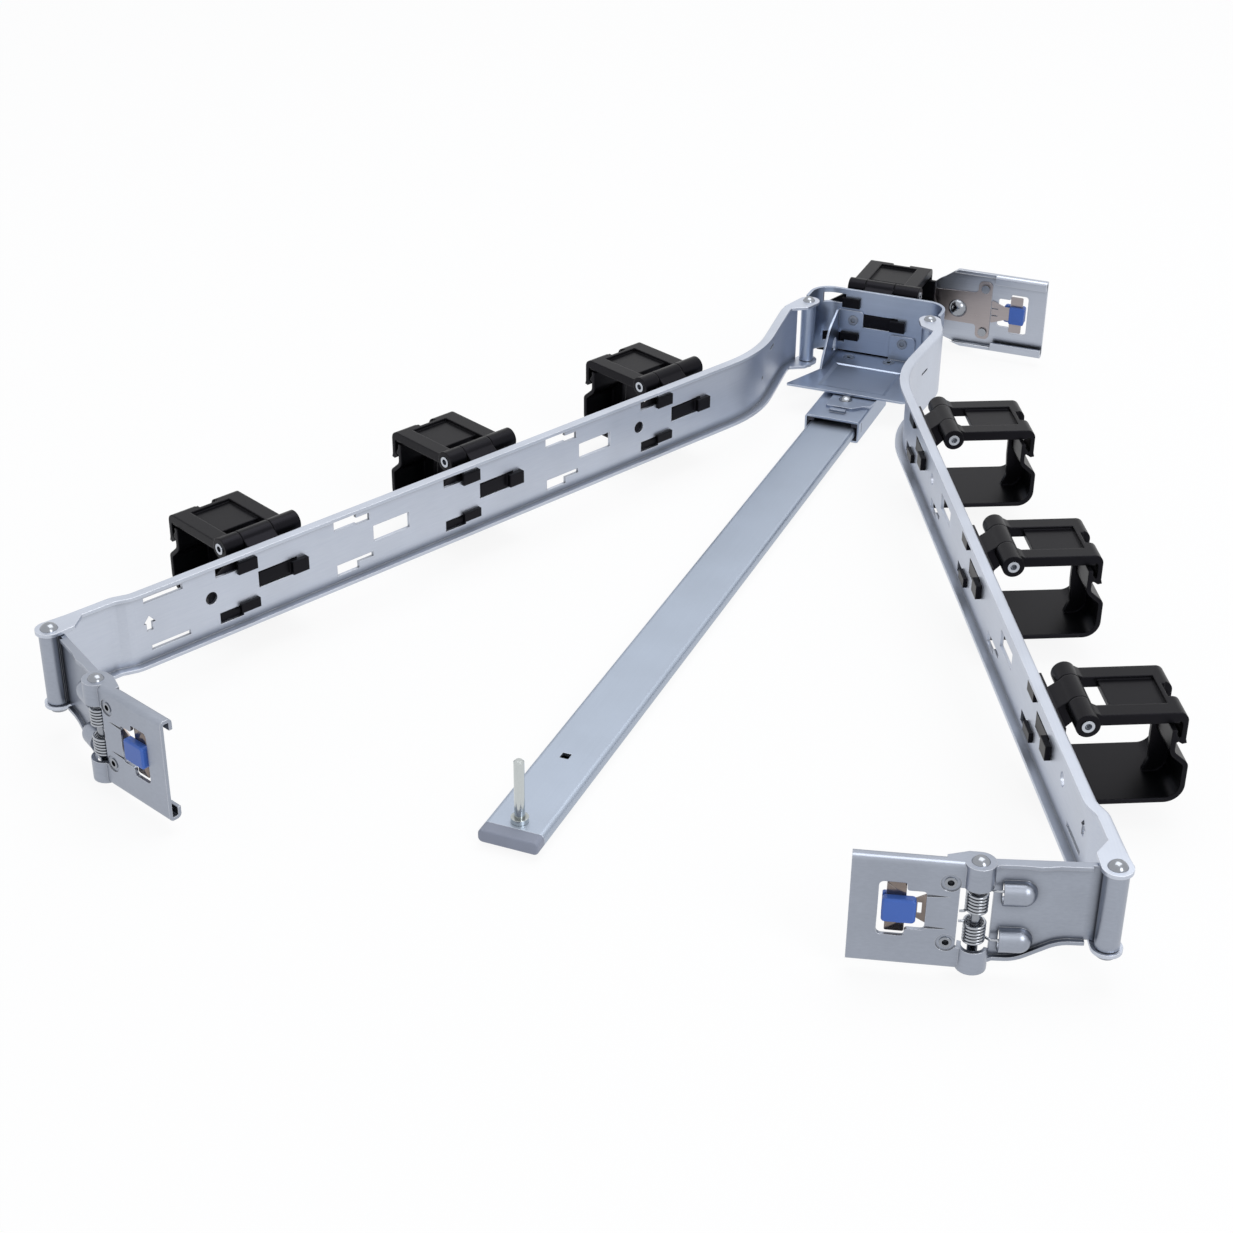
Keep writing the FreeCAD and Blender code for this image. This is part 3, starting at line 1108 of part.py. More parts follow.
def elbow_bracket():
    """U-shaped strip with a rolled tube for each arm's pin and one basket station in its web."""
    outer = ELBOW_HALF + ELBOW_TUBE_R
    path = [(outer, ELBOW_Y), (outer, ELBOW_BACK), (-outer, ELBOW_BACK), (-outer, ELBOW_Y)]
    strip = band(path, [0, ELBOW_CORNER, ELBOW_CORNER, 0], 0, SHEET, 0, ARM_HEIGHT)
    room = EAR_ROOM
    trim = ELBOW_Y + ARM_EAR_R + 1.2
    for low, high in ((-1, room), (ARM_HEIGHT - room, ARM_HEIGHT + 1)):
        strip = strip.cut(box(-outer - 1, outer + 1, ELBOW_Y - 1, trim, low, high))
    tubes = []
    for way in (-1, 1):
        tube = ring(ELBOW_TUBE_R, ELBOW_TUBE_R - SHEET, room, ARM_HEIGHT - room)
        slit = box(1.0, ELBOW_TUBE_R + 1, -0.15, 0.15, 0, ARM_HEIGHT)
        slit.rotate(ORIGIN, UP, 62 if way > 0 else 118)
        tube = tube.cut(slit)
        tube.translate(V(way * ELBOW_HALF, ELBOW_Y, 0))
        tubes.append(tube)
    elbow = join(strip, *tubes)
    station = Seat(ELBOW_STATION_X, ELBOW_BACK, 0, 1, 0)
    for slot in station_slots():
        elbow = elbow.cut(station.put(slot))
    elbow.translate(V(0, 0, ARM_BASE))
    for x, z in web_rivet_places():
        elbow = elbow.cut(cross_rod(EAR_RIVET_R + SEAT_GAP, ELBOW_BACK - 4, ELBOW_BACK + 1, x, z))
    return elbow


def make_rear():
    low = CONNECTOR_LOW + REAR_SHIFT
    mid = low + CONNECTOR_HEIGHT / 2
    save("rear_connector", REAR_CONNECTOR.put(rear_connector()))
    save("rear_latch_spring", REAR_CONNECTOR.put(rear_tongue(REAR_RIVET_X, mid)))
    save("rear_push_button", REAR_CONNECTOR.put(push_button(REAR_RIVET_X, mid)))
    save("rear_latch_rivets", REAR_CONNECTOR.put(latch_rivets(REAR_RIVET_X, mid)))
    save("rear_leaf_strip", REAR_CONNECTOR.put(rear_strip()))
    save("rear_bracket", rear_bracket())
    save("rear_dome_rivet", rear_dome_rivet())


def make_bar():
    save("support_bar", support_bar())
    save("bar_end_cap", bar_end_cap())
    save("bar_locating_pin", bar_locating_pin())


def make_elbow():
    save("slide_sleeve", slide_sleeve())
    save("sleeve_liner", sleeve_liner())
    save("pivot_rivet", pivot_rivet())
    save("tongue_plate", tongue_plate())
    save("tray_bracket", tray_bracket())
    save("tray_rivets", tray_rivets())
    save("elbow_bracket", elbow_bracket())
    make_basket("elbow_basket", ELBOW_SEAT)


def main():
    os.makedirs("parts", exist_ok=True)
    make_bar()
    make_rear()
    make_elbow()
    make_arm("left", LEFT_ARM, False)
    make_arm("right", RIGHT_ARM, True)
    make_front_end("left", LEFT_LINK, LEFT_CONNECTOR)
    make_front_end("right", RIGHT_LINK, RIGHT_CONNECTOR)


main()
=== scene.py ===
import json
import math

import bpy
from mathutils import Matrix, Vector


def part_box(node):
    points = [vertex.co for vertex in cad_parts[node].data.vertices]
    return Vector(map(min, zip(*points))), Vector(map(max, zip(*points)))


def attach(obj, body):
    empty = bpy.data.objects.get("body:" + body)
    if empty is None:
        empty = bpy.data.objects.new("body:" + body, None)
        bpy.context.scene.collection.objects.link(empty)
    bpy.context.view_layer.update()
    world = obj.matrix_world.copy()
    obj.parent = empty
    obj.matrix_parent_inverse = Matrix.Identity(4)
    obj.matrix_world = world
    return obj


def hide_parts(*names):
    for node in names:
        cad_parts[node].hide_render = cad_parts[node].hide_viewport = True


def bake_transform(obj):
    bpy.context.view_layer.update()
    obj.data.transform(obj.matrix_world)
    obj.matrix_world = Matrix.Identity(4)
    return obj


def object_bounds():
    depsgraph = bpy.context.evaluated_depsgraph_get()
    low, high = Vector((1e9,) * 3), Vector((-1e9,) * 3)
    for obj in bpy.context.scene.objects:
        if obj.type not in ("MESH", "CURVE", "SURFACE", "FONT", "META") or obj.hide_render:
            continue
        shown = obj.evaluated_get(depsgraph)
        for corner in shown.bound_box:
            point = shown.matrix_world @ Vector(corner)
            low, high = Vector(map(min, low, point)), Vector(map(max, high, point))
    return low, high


bl_info = {
    "name": "Server Cable Management Arm",
    "version": (1, 0, 0),
    "blender": (4, 5, 0),
    "location": "View3D > Sidebar > Cable Arm",
    "description": "Springs, finishes and studio for a server cable management arm",
    "category": "Object",
}

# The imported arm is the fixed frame: its nodes keep their shapes and get finishes here.
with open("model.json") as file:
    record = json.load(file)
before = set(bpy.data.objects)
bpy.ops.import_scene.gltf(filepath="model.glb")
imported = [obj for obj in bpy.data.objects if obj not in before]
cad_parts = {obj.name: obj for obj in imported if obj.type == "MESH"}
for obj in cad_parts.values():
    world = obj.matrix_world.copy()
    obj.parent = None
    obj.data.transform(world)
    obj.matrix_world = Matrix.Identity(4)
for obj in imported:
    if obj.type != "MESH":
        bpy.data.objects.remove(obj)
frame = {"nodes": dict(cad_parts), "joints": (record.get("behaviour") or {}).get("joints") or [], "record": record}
CAD_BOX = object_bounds()
JOINTS = {joint["name"]: joint for joint in frame["joints"]}
SLOTS = {part["node"]: part["material_slot"] for part in frame["record"]["subparts"]}
SIDES = ("left", "right")
MM = 0.001

# Widths of the patterns in the finishes, in millimetres. The zinc's grain, the rolling streaks,
# the drawing marks and the mould's spark grain are finer on the real pieces, and are drawn as
# coarse as they need to show. The streaks and the marks are drawn out along one axis.
ZINC_CLOUD = 22.0
ZINC_GRAIN = 0.35
ROLLING_STREAK = 0.5
STREAK_STRETCH = (60, 1, 1)
DRAWING_MARK = 0.25
MARK_STRETCH = (1, 1, 6)
PLASTIC_CLOUD = 14.0
SPARK_GRAIN = 0.3

# How far the finishes change over a piece: roughness up and down, the polished metal's as a share
# of its own, the shades of the clouds and marks, and how far the edges go towards bare zinc or
# paler plastic, partly wear and partly a painted highlight.
ZINC_SPREAD = 0.06
POLISH_SPREAD = 0.3
PLASTIC_SPREAD = 0.05
MARK_SHADE = 0.88
PLASTIC_DARK = 0.9
PLASTIC_LIGHT = 1.12
ZINC_WEAR_AND_HIGHLIGHT = 0.5
PLASTIC_WEAR_AND_HIGHLIGHT = 0.35
PALE_EDGE_GAIN = 1.6
PALE_EDGE_LIFT = 0.006

# How much the fine grain breaks up the light, the depth of the zinc's grain and the softened
# edges of small polished parts, both in millimetres.
ZINC_BUMP = 0.12
PLASTIC_BUMP = 0.25
ZINC_RELIEF = 0.02
POLISHED_EDGE = 0.15

# How far shade reaches into the corners of sheet and of small round parts, in millimetres, and
# the share of the colour that it takes from the deepest ones.
SHEET_CREASE = 3.5
ROUND_CREASE = 1.6
CREASE_DEPTH = 0.7

# The torsion springs: steps of the wire in a turn, and the legs' bends in millimetres, the long
# leg's from the coil's axis and the short leg's from the coil's side.
STEPS_IN_TURN = 16
LONG_LEG = ((-10.7, 0.0), (-5.2, 0.0), (-4.3, -0.3), (-3.0, -1.7), (-1.7, -2.65))
SHORT_LEG = ((0.15, 0.35), (0.8, 0.5), (1.7, 0.5))

# Points closer than the weld are one, and faces within the angle are shaded as one surface.
WELD = 0.001 * MM
LEAF_SMOOTH = math.radians(35)
WIRE_SMOOTH = math.radians(50)

# The studio, in metres. The floor gives the camera this share of plain white, and the rest of it
# is paper that takes the object's shadow.
FLOOR_SIZE = 12
FLOOR_MIDDLE = (0, 1)
WHITE_SHARE = 0.9
WHITE_STRENGTH = 1.0
SKY_STRENGTH = 0.55
LAMP_TARGET = (0, 0.2, 0.02)
TOP_LAMP = (0.1, 0.5, 1.6)
TOP_LAMP_SIZE = (1.3, 1.3)
FRONT_LAMP = (1.3, -0.7, 1.1)
FRONT_LAMP_SIZE = (0.7, 0.9)
FRONT_LAMP_SHARE = 0.7
CAMERA_PLACE = (0.2370, -0.5000, 0.3942)
CAMERA_RIGHT = (0.9246, 0.3809, 0)
SENSOR_MM = 36
CLIP_START = 0.01


def linear(hex_colour, *alpha):
    """An sRGB hex value as linear red, green and blue, and the alpha that a socket asks for."""
    parts = [int(hex_colour[at:at + 2], 16) / 255 for at in (1, 3, 5)]
    parts = [part / 12.92 if part <= 0.04045 else ((part + 0.055) / 1.055) ** 2.4
             for part in parts]
    return (*parts, *alpha)


class CABLEARM_PG_springs(bpy.types.PropertyGroup):
    wire: bpy.props.FloatProperty(
        name="Wire", description="Thickness of the torsion springs' wire", default=0.8 * MM,
        unit="LENGTH", precision=5)
    coil: bpy.props.FloatProperty(
        name="Coil radius", description="From the coil's axis to the middle of the wire",
        default=2.88 * MM, unit="LENGTH", precision=5)
    turns: bpy.props.IntProperty(
        name="Turns", description="Whole turns in each coil", default=6, min=2)


class CABLEARM_PG_colours(bpy.types.PropertyGroup):
    arm: bpy.props.FloatVectorProperty(
        name="Arm sheet", description="Zinc on the arms", subtype="COLOR",
        default=linear("#C2C8D4"))
    bar: bpy.props.FloatVectorProperty(
        name="Bar", description="Zinc on the support bar", subtype="COLOR",
        default=linear("#AAB4C3"))
    bracket: bpy.props.FloatVectorProperty(
        name="Brackets", description="Zinc on the elbow and the tray", subtype="COLOR",
        default=linear("#A2ADC0"))
    connector: bpy.props.FloatVectorProperty(
        name="Connectors", description="Zinc on the links and connectors", subtype="COLOR",
        default=linear("#9CA2AE"))
    # The rear connector's colour: the connectors' zinc painted paler, as painted light on its shaded faces.
    rear_clip_painted_light: bpy.props.FloatVectorProperty(
        name="Rear connector", description="Zinc on the rear connector", subtype="COLOR",
        default=linear("#B2B8C4"))
    basket: bpy.props.FloatVectorProperty(
        name="Baskets", description="Moulded black plastic", subtype="COLOR",
        default=linear("#0B0B0D"))
    button: bpy.props.FloatVectorProperty(
        name="Buttons", description="Moulded blue plastic", subtype="COLOR",
        default=linear("#3A63B4"))


class CABLEARM_PG_stage(bpy.types.PropertyGroup):
    lens: bpy.props.FloatProperty(
        name="Lens", description="Focal length of the camera in millimetres", default=65.13)
    pitch: bpy.props.FloatProperty(
        name="Pitch", description="How far the camera looks down", default=math.radians(29.94),
        subtype="ANGLE")
    roll: bpy.props.FloatProperty(
        name="Roll", description="Turn of the camera about its own line of sight",
        default=math.radians(0.45), subtype="ANGLE")
    lamp: bpy.props.FloatProperty(
        name="Lamp power", description="Power of the large soft lamp in watts", default=12.0)


def add_node(tree, kind, settings=None, links=None):
    """Adds one shader node, with its values by input or property name and its links by input."""
    made = tree.nodes.new(kind)
    for key, value in (settings or {}).items():
        if isinstance(key, int) or key in made.inputs:
            made.inputs[key].default_value = value
        else:
            setattr(made, key, value)
    for key, source in (links or {}).items():
        tree.links.new(source, made.inputs[key])
    return made


def new_material(name):
    made = bpy.data.materials.new(name)
    made.use_nodes = True
    made.node_tree.nodes.clear()
    return made, made.node_tree


def grained(tree, size_mm, stretch=(1, 1, 1), turn=0.0, detail=2.0):
    """Noise on the piece's own coordinates; size_mm is the width of one grain."""
    place = add_node(tree, "ShaderNodeTexCoord")
    scale = [1 / (size_mm * MM * part) for part in stretch]
    turned = add_node(tree, "ShaderNodeMapping", {"Rotation": (0, 0, turn)},
                      {"Vector": place.outputs["Object"]})
    sized = add_node(tree, "ShaderNodeMapping", {"Scale": scale}, {"Vector": turned.outputs[0]})
    noise = add_node(tree, "ShaderNodeTexNoise", {"Scale": 1.0, "Detail": detail},
                     {"Vector": sized.outputs[0]})
    return noise.outputs[0]


def edge_normals_and_mask(tree, radius_mm):
    """Softened edge normals, and a mask that is 1 along the piece's edges."""
    soft = add_node(tree, "ShaderNodeBevel", {"samples": 4, "Radius": radius_mm * MM})
    flat = add_node(tree, "ShaderNodeNewGeometry")
    same = add_node(tree, "ShaderNodeVectorMath", {"operation": "DOT_PRODUCT"},
                    {0: soft.outputs[0], 1: flat.outputs["Normal"]})
    mask = add_node(tree, "ShaderNodeMapRange", {"From Min": 0.999, "From Max": 0.9},
                    {"Value": same.outputs["Value"]})
    return soft.outputs[0], mask.outputs[0]


def worn_and_highlit_edges(tree, colour, edges, wear_and_highlight, edge_colour):
    """The same colour, gone over to the edge colour along the edges by the share of wear and
    painted highlight.
    """
    worn_and_lit = add_node(tree, "ShaderNodeMath", {"operation": "MULTIPLY", 1: wear_and_highlight}, {0: edges})
    mixed = add_node(tree, "ShaderNodeMix", {"data_type": "RGBA", 7: edge_colour},
                     {0: worn_and_lit.outputs[0], 6: colour})
    return mixed.outputs[2]


def crevices(tree, colour, reach_mm):
    """The same colour, darker in the piece's own corners and hollows, where shade collects."""
    open_sky = add_node(tree, "ShaderNodeAmbientOcclusion",
                        {"samples": 6, "only_local": True, "Distance": reach_mm * MM})
    shade = add_node(tree, "ShaderNodeMapRange",
                     {"From Min": 0.3, "From Max": 0.98, "To Min": 1 - CREASE_DEPTH},
                     {"Value": open_sky.outputs["AO"]})
    shaded = add_node(tree, "ShaderNodeMix",
                      {"data_type": "RGBA", "blend_type": "MULTIPLY", 0: 1.0},
                      {6: colour, 7: shade.outputs[0]})
    return shaded.outputs[2]


def zinc_steel(name, colour, roughness, turn=0.0, cloud=0.10, streak=0.08, edge_mm=0.35,
               patch_mm=ZINC_CLOUD):
    """Rolled steel with bright zinc: cloudy bluish grey, fine rolling streaks and bright sheared
    edges, partly bare zinc and partly a painted highlight. turn lays the streaks along the piece;
    cloud and streak say how strong they are."""
    made, tree = new_material(name)
    clouds = grained(tree, patch_mm, detail=3.0)
    streaks = grained(tree, ROLLING_STREAK, STREAK_STRETCH, turn)
    grain = grained(tree, ZINC_GRAIN)
    soft, edges = edge_normals_and_mask(tree, edge_mm)
    dark = [part * (1 - cloud) for part in colour] + [1]
    light = [min(part * (1 + cloud), 1) for part in colour] + [1]
    tone = add_node(tree, "ShaderNodeMix", {"data_type": "RGBA", 6: dark, 7: light}, {0: clouds})
    lined = add_node(tree, "ShaderNodeMix",
                     {"data_type": "RGBA", "blend_type": "OVERLAY", 0: streak},
                     {6: tone.outputs[2], 7: streaks})
    # The edges go towards a pale zinc: partly bare metal, partly a painted highlight.
    bright = worn_and_highlit_edges(tree, lined.outputs[2], edges, ZINC_WEAR_AND_HIGHLIGHT, linear("#EFF1F6", 1))
    rough = add_node(tree, "ShaderNodeMapRange",
                     {"To Min": roughness - ZINC_SPREAD, "To Max": roughness + ZINC_SPREAD},
                     {"Value": clouds})
    bump = add_node(tree, "ShaderNodeBump",
                    {"Strength": ZINC_BUMP, "Distance": ZINC_RELIEF * MM},
                    {"Height": grain, "Normal": soft})
    shader = add_node(tree, "ShaderNodeBsdfPrincipled", {"Metallic": 1.0},
                      {"Base Color": crevices(tree, bright, SHEET_CREASE),
                       "Roughness": rough.outputs[0], "Normal": bump.outputs[0]})
    add_node(tree, "ShaderNodeOutputMaterial", None, {"Surface": shader.outputs[0]})
    return made


def polished_metal(name, colour, roughness):
    """Turned or drawn metal with a bright plating: nearly mirror, with faint upright marks."""
    made, tree = new_material(name)
    marks = grained(tree, DRAWING_MARK, MARK_STRETCH)
    soft = add_node(tree, "ShaderNodeBevel", {"samples": 4, "Radius": POLISHED_EDGE * MM})
    low = [part * MARK_SHADE for part in colour] + [1]
    tone = add_node(tree, "ShaderNodeMix", {"data_type": "RGBA", 6: low, 7: list(colour) + [1]},
                    {0: marks})
    rough = add_node(tree, "ShaderNodeMapRange",
                     {"To Min": roughness * (1 - POLISH_SPREAD),
                      "To Max": roughness * (1 + POLISH_SPREAD)}, {"Value": marks})
    shader = add_node(tree, "ShaderNodeBsdfPrincipled", {"Metallic": 1.0},
                      {"Base Color": crevices(tree, tone.outputs[2], ROUND_CREASE),
                       "Roughness": rough.outputs[0], "Normal": soft.outputs[0]})
    add_node(tree, "ShaderNodeOutputMaterial", None, {"Surface": shader.outputs[0]})
    return made


def moulded_plastic(name, colour, roughness, grain_mm=SPARK_GRAIN, depth_mm=0.03, edge_mm=0.5,
                    sheen=0.5):
    """Injection-moulded plastic: even colour, fine spark grain, soft corners, and paler edges,
    partly worn and partly a painted highlight.
    sheen is the mirror share of its skin, and 0.5 is plain plastic."""
    made, tree = new_material(name)
    clouds = grained(tree, PLASTIC_CLOUD)
    grain = grained(tree, grain_mm, detail=3.0)
    soft, edges = edge_normals_and_mask(tree, edge_mm)
    dark = [part * PLASTIC_DARK for part in colour] + [1]
    light = [part * PLASTIC_LIGHT for part in colour] + [1]
    # The edges go paler: partly rubbed plastic, partly a painted highlight.
    pale = [part * PALE_EDGE_GAIN + PALE_EDGE_LIFT for part in colour] + [1]
    tone = add_node(tree, "ShaderNodeMix", {"data_type": "RGBA", 6: dark, 7: light}, {0: clouds})
    rubbed_and_lit = worn_and_highlit_edges(tree, tone.outputs[2], edges, PLASTIC_WEAR_AND_HIGHLIGHT, pale)
    rough = add_node(tree, "ShaderNodeMapRange",
                     {"To Min": roughness - PLASTIC_SPREAD, "To Max": roughness + PLASTIC_SPREAD},
                     {"Value": grain})
    bump = add_node(tree, "ShaderNodeBump",
                    {"Strength": PLASTIC_BUMP, "Distance": depth_mm * MM},
                    {"Height": grain, "Normal": soft})
    shader = add_node(tree, "ShaderNodeBsdfPrincipled",
                      {"IOR": 1.53, "Specular IOR Level": sheen,
                       "Specular Tint": linear("#EAE7FF", 1)},
                      {"Base Color": rubbed_and_lit, "Roughness": rough.outputs[0],
                       "Normal": bump.outputs[0]})
    add_node(tree, "ShaderNodeOutputMaterial", None, {"Surface": shader.outputs[0]})
    return made


def finish(names, material):
    """Gives CAD nodes one material on all their slots."""
    for name in names:
        mesh = frame["nodes"][name].data
        mesh.materials.clear()
        mesh.materials.append(material)


def in_slot(slot):
    return [node for node, its_slot in SLOTS.items() if its_slot == slot]


def arm_turn(side):
    """Direction in plan of an arm, from its two hinges."""
    start = Vector(JOINTS[side + "_arm_hinge"]["pos_m"])
    end = Vector(JOINTS[side + "_link_hinge"]["pos_m"])
    return math.atan2(end.y - start.y, end.x - start.x)


class CABLEARM_OT_metal(bpy.types.Operator):
    """Give the sheet, the bar, the pins and the rivets their zinc and nickel"""
    bl_idname = "cablearm.metal"
    bl_label = "Metal Finishes"

    def execute(self, context):
        colours = context.scene.cablearm_colours
        # Zinc on cold-rolled sheet: a pale bluish satin, with faint streaks along each arm.
        for side in SIDES:
            sheet = zinc_steel("zinc_plated_arm_sheet_" + side, colours.arm, 0.40,
                               -arm_turn(side))
            finish([side + "_arm"], sheet)
        # Zinc on drawn tube: the calmest and most even of the metals.
        finish(["support_bar"], zinc_steel("zinc_plated_bar", colours.bar, 0.42, -math.pi / 2,
                                           cloud=0.05, streak=0.032))
        # Zinc on pressings: a bluer grey, a little glossier than the arms.
        finish(in_slot("bracket_steel"),
               zinc_steel("zinc_plated_pressing", colours.bracket, 0.36))
        # Satin zinc on the clip plates and links: a darker, cloudier grey.
        finish(in_slot("connector_steel"),
               zinc_steel("satin_zinc_clip_plate", colours.connector, 0.34, cloud=0.14,
                          edge_mm=0.3))
        # The rear connector gets the side ones' zinc painted paler, as painted light on its shaded faces.
        finish(["rear_connector"],
               zinc_steel("painted_light_zinc_clip_plate", colours.rear_clip_painted_light, 0.34, edge_mm=0.3))
        # Stainless spring strip: warm grey and glossy, with dark and light patches painted in as reflections.
        finish(in_slot("spring_leaf"),
               zinc_steel("stainless_spring_strip", linear("#7D736E"), 0.22, cloud=0.45,
                          edge_mm=0.15, patch_mm=5.0))
        # Annealed strip on the rear leaf: paler and duller, a light warm grey.
        finish(["rear_leaf_strip", "rear_latch_spring"],
               zinc_steel("annealed_spring_strip", linear("#A29B9C"), 0.30, cloud=0.15,
                          edge_mm=0.15, patch_mm=9.0))
        # Nickel on the domed pins and rivets: mid grey with sharp highlights.
        finish(in_slot("bright_rivet"),
               polished_metal("nickel_plated_rivet", linear("#979BA2"), 0.2))
        # Ground steel on the baskets' hinge pins: bright ends in the dark plastic.
        finish(in_slot("bright_pin"), polished_metal("ground_steel_pin", linear("#BEC3CC"), 0.2))
        # Bright zinc on the locating pin: the nearest to a mirror.
        finish(in_slot("zinc_pin"), polished_metal("bright_zinc_pin", linear("#C6CBCB"), 0.14))
        # Drawn spring wire: bright lines with dark gaps between the turns.
        finish(in_slot("spring_wire"),
               polished_metal("drawn_spring_wire", linear("#B2B6BD"), 0.16))
        return {"FINISHED"}


class CABLEARM_OT_plastic(bpy.types.Operator):
    """Give the baskets, the buttons, the cap and the runner their moulded plastic"""
    bl_idname = "cablearm.plastic"
    bl_label = "Plastic Finishes"

    def execute(self, context):
        colours = context.scene.cablearm_colours
        # Black ABS from a spark-eroded mould: near black with a faint cool sheen, round corners.
        finish(in_slot("basket_plastic"),
               moulded_plastic("moulded_black_abs", colours.basket, 0.32, edge_mm=0.8,
                               sheen=0.12))
        # Blue acetal: smooth and waxy, with an even colour.
        finish(in_slot("button_plastic"),
               moulded_plastic("moulded_blue_acetal", colours.button, 0.35, 0.4, 0.01, 0.6))
        # Grey nylon: dull, close to the bar's own grey.
        finish(in_slot("cap_plastic"),
               moulded_plastic("moulded_grey_nylon", linear("#858B99"), 0.5))
        # Dark acetal: a thin dark line round the bar under the sleeve.
        finish(in_slot("liner_plastic"),
               moulded_plastic("moulded_acetal_runner", linear("#34353A"), 0.4))
        return {"FINISHED"}


class CABLEARM_OT_leaves(bpy.types.Operator):
    """Put welded, smooth-shaded copies of the side leaves in place of their CAD nodes"""
    bl_idname = "cablearm.leaves"
    bl_label = "Spring Leaves"

    def execute(self, context):
        for side in SIDES:
            node = side + "_latch_spring"
            bpy.ops.object.select_all(action="DESELECT")
            piece = bpy.data.objects.new(node + "_bending", frame["nodes"][node].data.copy())
            context.collection.objects.link(piece)
            piece.select_set(True)
            context.view_layer.objects.active = piece
            bpy.ops.object.mode_set(mode="EDIT")
            bpy.ops.mesh.select_all(action="SELECT")
            bpy.ops.mesh.remove_doubles(threshold=WELD)
            bpy.ops.object.mode_set(mode="OBJECT")
            bpy.ops.object.shade_smooth_by_angle(angle=LEAF_SMOOTH)
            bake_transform(piece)
            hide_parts(node)
        return {"FINISHED"}


def spring_points(sizes, height, legs_up):
    """Middle line of one torsion spring: the long leg along -x, the coil about z, and the short
    leg along +x. legs_up turns it over, so that the long leg is at the top."""
    steps = sizes.turns * STEPS_IN_TURN + STEPS_IN_TURN // 4
    rise = height - sizes.wire
    coil = []
    for step in range(steps + 1):
        angle = -math.pi / 2 + 2 * math.pi * step / STEPS_IN_TURN
        coil.append(Vector((sizes.coil * math.cos(angle), sizes.coil * math.sin(angle),
                            sizes.wire / 2 + rise * step / steps)))
    foot = coil[0].z
    head = coil[-1].z
    leg_in = [Vector((x * MM, y * MM, foot)) for x, y in LONG_LEG]
    leg_out = [Vector((sizes.coil + x * MM, y * MM, head)) for x, y in SHORT_LEG]
    line = leg_in + coil + leg_out
    if not legs_up:
        return line
    return [Vector((point.x, point.y, height - point.z)) for point in line]


class CABLEARM_OT_springs(bpy.types.Operator):
    """Wind the four torsion springs round the connector pins"""
    bl_idname = "cablearm.springs"
    bl_label = "Torsion Springs"

    def execute(self, context):
        sizes = context.scene.cablearm_springs
        wire = bpy.data.materials["drawn_spring_wire"]
        for side in SIDES:
            pin = Vector(JOINTS[side + "_connector_hinge"]["pos_m"])
            arm = Vector(JOINTS[side + "_link_hinge"]["pos_m"])
            along = (pin - arm).to_2d().normalized()
            across = Vector((-along.y, along.x)) * (1 if side == "right" else -1)
            for which in ("upper", "lower"):
                node = "%s_spring_%s" % (side, which)
                low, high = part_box(node)
                line = spring_points(sizes, high[2] - low[2], which == "upper")
                bpy.ops.object.select_all(action="DESELECT")
                bpy.ops.curve.primitive_nurbs_path_add()
                piece = context.object
                piece.name = node + "_wound"
                piece.data.splines.clear()
                spline = piece.data.splines.new("NURBS")
                spline.points.add(len(line) - 1)
                for point, at in zip(spline.points, line):
                    flat = pin.to_2d() + along * at.x + across * at.y
                    point.co = (flat.x, flat.y, low[2] + at.z, 1)
                spline.order_u = 3
                spline.use_endpoint_u = True
                piece.data.resolution_u = 3
                piece.data.bevel_depth = sizes.wire / 2
                piece.data.bevel_resolution = 3
                piece.data.use_fill_caps = True
                bpy.ops.object.convert(target="MESH")
                piece = context.object
                bpy.ops.object.shade_smooth_by_angle(angle=WIRE_SMOOTH)
                piece.data.materials.append(wire)
                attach(piece, side + "_link")
                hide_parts(node)
        return {"FINISHED"}


def seen_rays(tree):
    """1 for what the camera sees itself or in metal and glass, where the studio shows white."""
    ray = add_node(tree, "ShaderNodeLightPath")
    mirrored = add_node(tree, "ShaderNodeMath", {"operation": "MAXIMUM"},
                        {0: ray.outputs["Is Glossy Ray"], 1: ray.outputs["Is Transmission Ray"]})
    seen = add_node(tree, "ShaderNodeMath", {"operation": "MAXIMUM"},
                    {0: ray.outputs["Is Camera Ray"], 1: mirrored.outputs[0]})
    return seen.outputs[0]


def lay_floor():
    """Pale studio paper: plain white to the camera, with the object's soft shadow on it."""
    bpy.ops.object.select_all(action="DESELECT")
    bpy.ops.mesh.primitive_plane_add(size=FLOOR_SIZE, location=(*FLOOR_MIDDLE, CAD_BOX[0][2]))
    floor = bpy.context.object
    floor.name = "studio_floor"
    bpy.ops.object.transform_apply(location=True)
    paper, tree = new_material("white_studio_paper")
    share = add_node(tree, "ShaderNodeMath", {"operation": "MULTIPLY", 1: WHITE_SHARE},
                     {0: seen_rays(tree)})
    matt = add_node(tree, "ShaderNodeBsdfDiffuse", {"Color": linear("#F7F7F8", 1)})
    glow = add_node(tree, "ShaderNodeEmission", {"Strength": WHITE_STRENGTH})
    mixed = add_node(tree, "ShaderNodeMixShader", None,
                     {0: share.outputs[0], 1: matt.outputs[0], 2: glow.outputs[0]})
    add_node(tree, "ShaderNodeOutputMaterial", None, {"Surface": mixed.outputs[0]})
    floor.data.materials.append(paper)


def set_world(scene):
    """A cool, even sky that lights the object, and white where the camera or a mirror sees it."""
    world = bpy.data.worlds.new("studio")
    scene.world = world
    world.use_nodes = True
    tree = world.node_tree
    tree.nodes.clear()
    light = add_node(tree, "ShaderNodeBackground",
                     {"Color": linear("#F7FAFF", 1), "Strength": SKY_STRENGTH})
    white = add_node(tree, "ShaderNodeBackground",
                     {"Color": linear("#FFFFFF", 1), "Strength": WHITE_STRENGTH})
    mixed = add_node(tree, "ShaderNodeMixShader", None,
                     {0: seen_rays(tree), 1: light.outputs[0], 2: white.outputs[0]})
    add_node(tree, "ShaderNodeOutputWorld", None, {"Surface": mixed.outputs[0]})


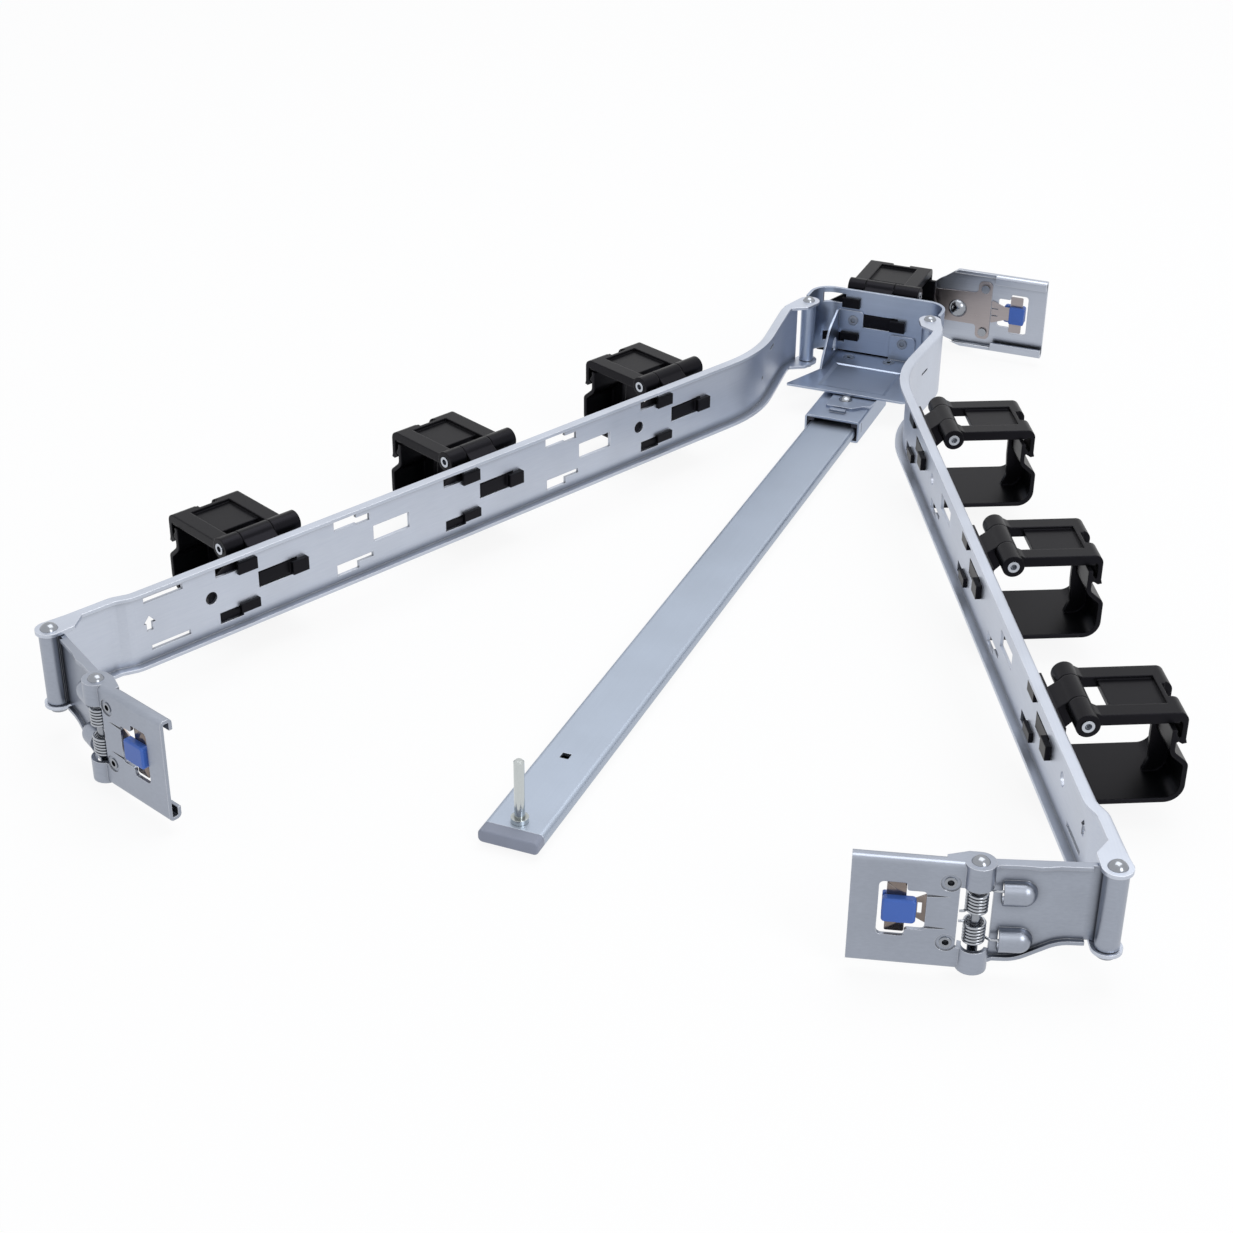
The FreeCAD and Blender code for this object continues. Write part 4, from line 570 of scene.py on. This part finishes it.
def add_area_lamp(name, place, size, power):
    bpy.ops.object.light_add(type="AREA", location=place)
    lamp = bpy.context.object
    lamp.name = name
    lamp.data.shape = "RECTANGLE"
    lamp.data.size, lamp.data.size_y = size
    lamp.data.energy = power
    aim = Vector(LAMP_TARGET) - Vector(place)
    lamp.rotation_euler = aim.to_track_quat("-Z", "Y").to_euler()


def set_camera(scene, stage):
    """The photograph's own point of view."""
    right = Vector(CAMERA_RIGHT).normalized()
    forward = Vector((-right.y * math.cos(stage.pitch), right.x * math.cos(stage.pitch),
                      -math.sin(stage.pitch)))
    up = right.cross(forward)
    rolled_right = right * math.cos(stage.roll) + up * math.sin(stage.roll)
    rolled_up = up * math.cos(stage.roll) - right * math.sin(stage.roll)
    bpy.ops.object.camera_add()
    camera = bpy.context.object
    camera.name = "studio_camera"
    turn = Matrix((rolled_right, rolled_up, -forward)).transposed()
    camera.matrix_world = Matrix.Translation(CAMERA_PLACE) @ turn.to_4x4()
    camera.data.sensor_width = SENSOR_MM
    camera.data.lens = stage.lens
    camera.data.clip_start = CLIP_START
    scene.camera = camera


class CABLEARM_OT_stage(bpy.types.Operator):
    """Lay the pale floor and set the lamps, the world and the camera"""
    bl_idname = "cablearm.stage"
    bl_label = "Studio"

    def execute(self, context):
        scene = context.scene
        stage = scene.cablearm_stage
        lay_floor()
        set_world(scene)
        add_area_lamp("soft_top", TOP_LAMP, TOP_LAMP_SIZE, stage.lamp)
        add_area_lamp("front_right", FRONT_LAMP, FRONT_LAMP_SIZE, stage.lamp * FRONT_LAMP_SHARE)
        set_camera(scene, stage)
        scene.view_settings.view_transform = "Standard"
        return {"FINISHED"}


class CABLEARM_PT_panel(bpy.types.Panel):
    bl_idname = "CABLEARM_PT_panel"
    bl_label = "Cable Arm"
    bl_space_type = "VIEW_3D"
    bl_region_type = "UI"
    bl_category = "Cable Arm"

    def draw(self, context):
        for operator in OPERATORS:
            self.layout.operator(operator.bl_idname)
        for group in GROUPS:
            settings = getattr(context.scene, group)
            for name in settings.bl_rna.properties.keys():
                if name not in ("rna_type", "name"):
                    self.layout.prop(settings, name)


OPERATORS = (CABLEARM_OT_metal, CABLEARM_OT_plastic, CABLEARM_OT_leaves, CABLEARM_OT_springs,
             CABLEARM_OT_stage)
GROUPS = {
    "cablearm_springs": CABLEARM_PG_springs,
    "cablearm_colours": CABLEARM_PG_colours,
    "cablearm_stage": CABLEARM_PG_stage,
}


def register():
    for group in GROUPS.values():
        bpy.utils.register_class(group)
    for operator in OPERATORS:
        bpy.utils.register_class(operator)
    bpy.utils.register_class(CABLEARM_PT_panel)
    for name, group in GROUPS.items():
        setattr(bpy.types.Scene, name, bpy.props.PointerProperty(type=group))


def unregister():
    for name in GROUPS:
        delattr(bpy.types.Scene, name)
    bpy.utils.unregister_class(CABLEARM_PT_panel)
    for operator in reversed(OPERATORS):
        bpy.utils.unregister_class(operator)
    for group in reversed(list(GROUPS.values())):
        bpy.utils.unregister_class(group)


def main():
    register()
    bpy.ops.cablearm.metal()
    bpy.ops.cablearm.plastic()
    bpy.ops.cablearm.leaves()
    bpy.ops.cablearm.springs()
    bpy.ops.cablearm.stage()


if __name__ == "__main__":
    main()
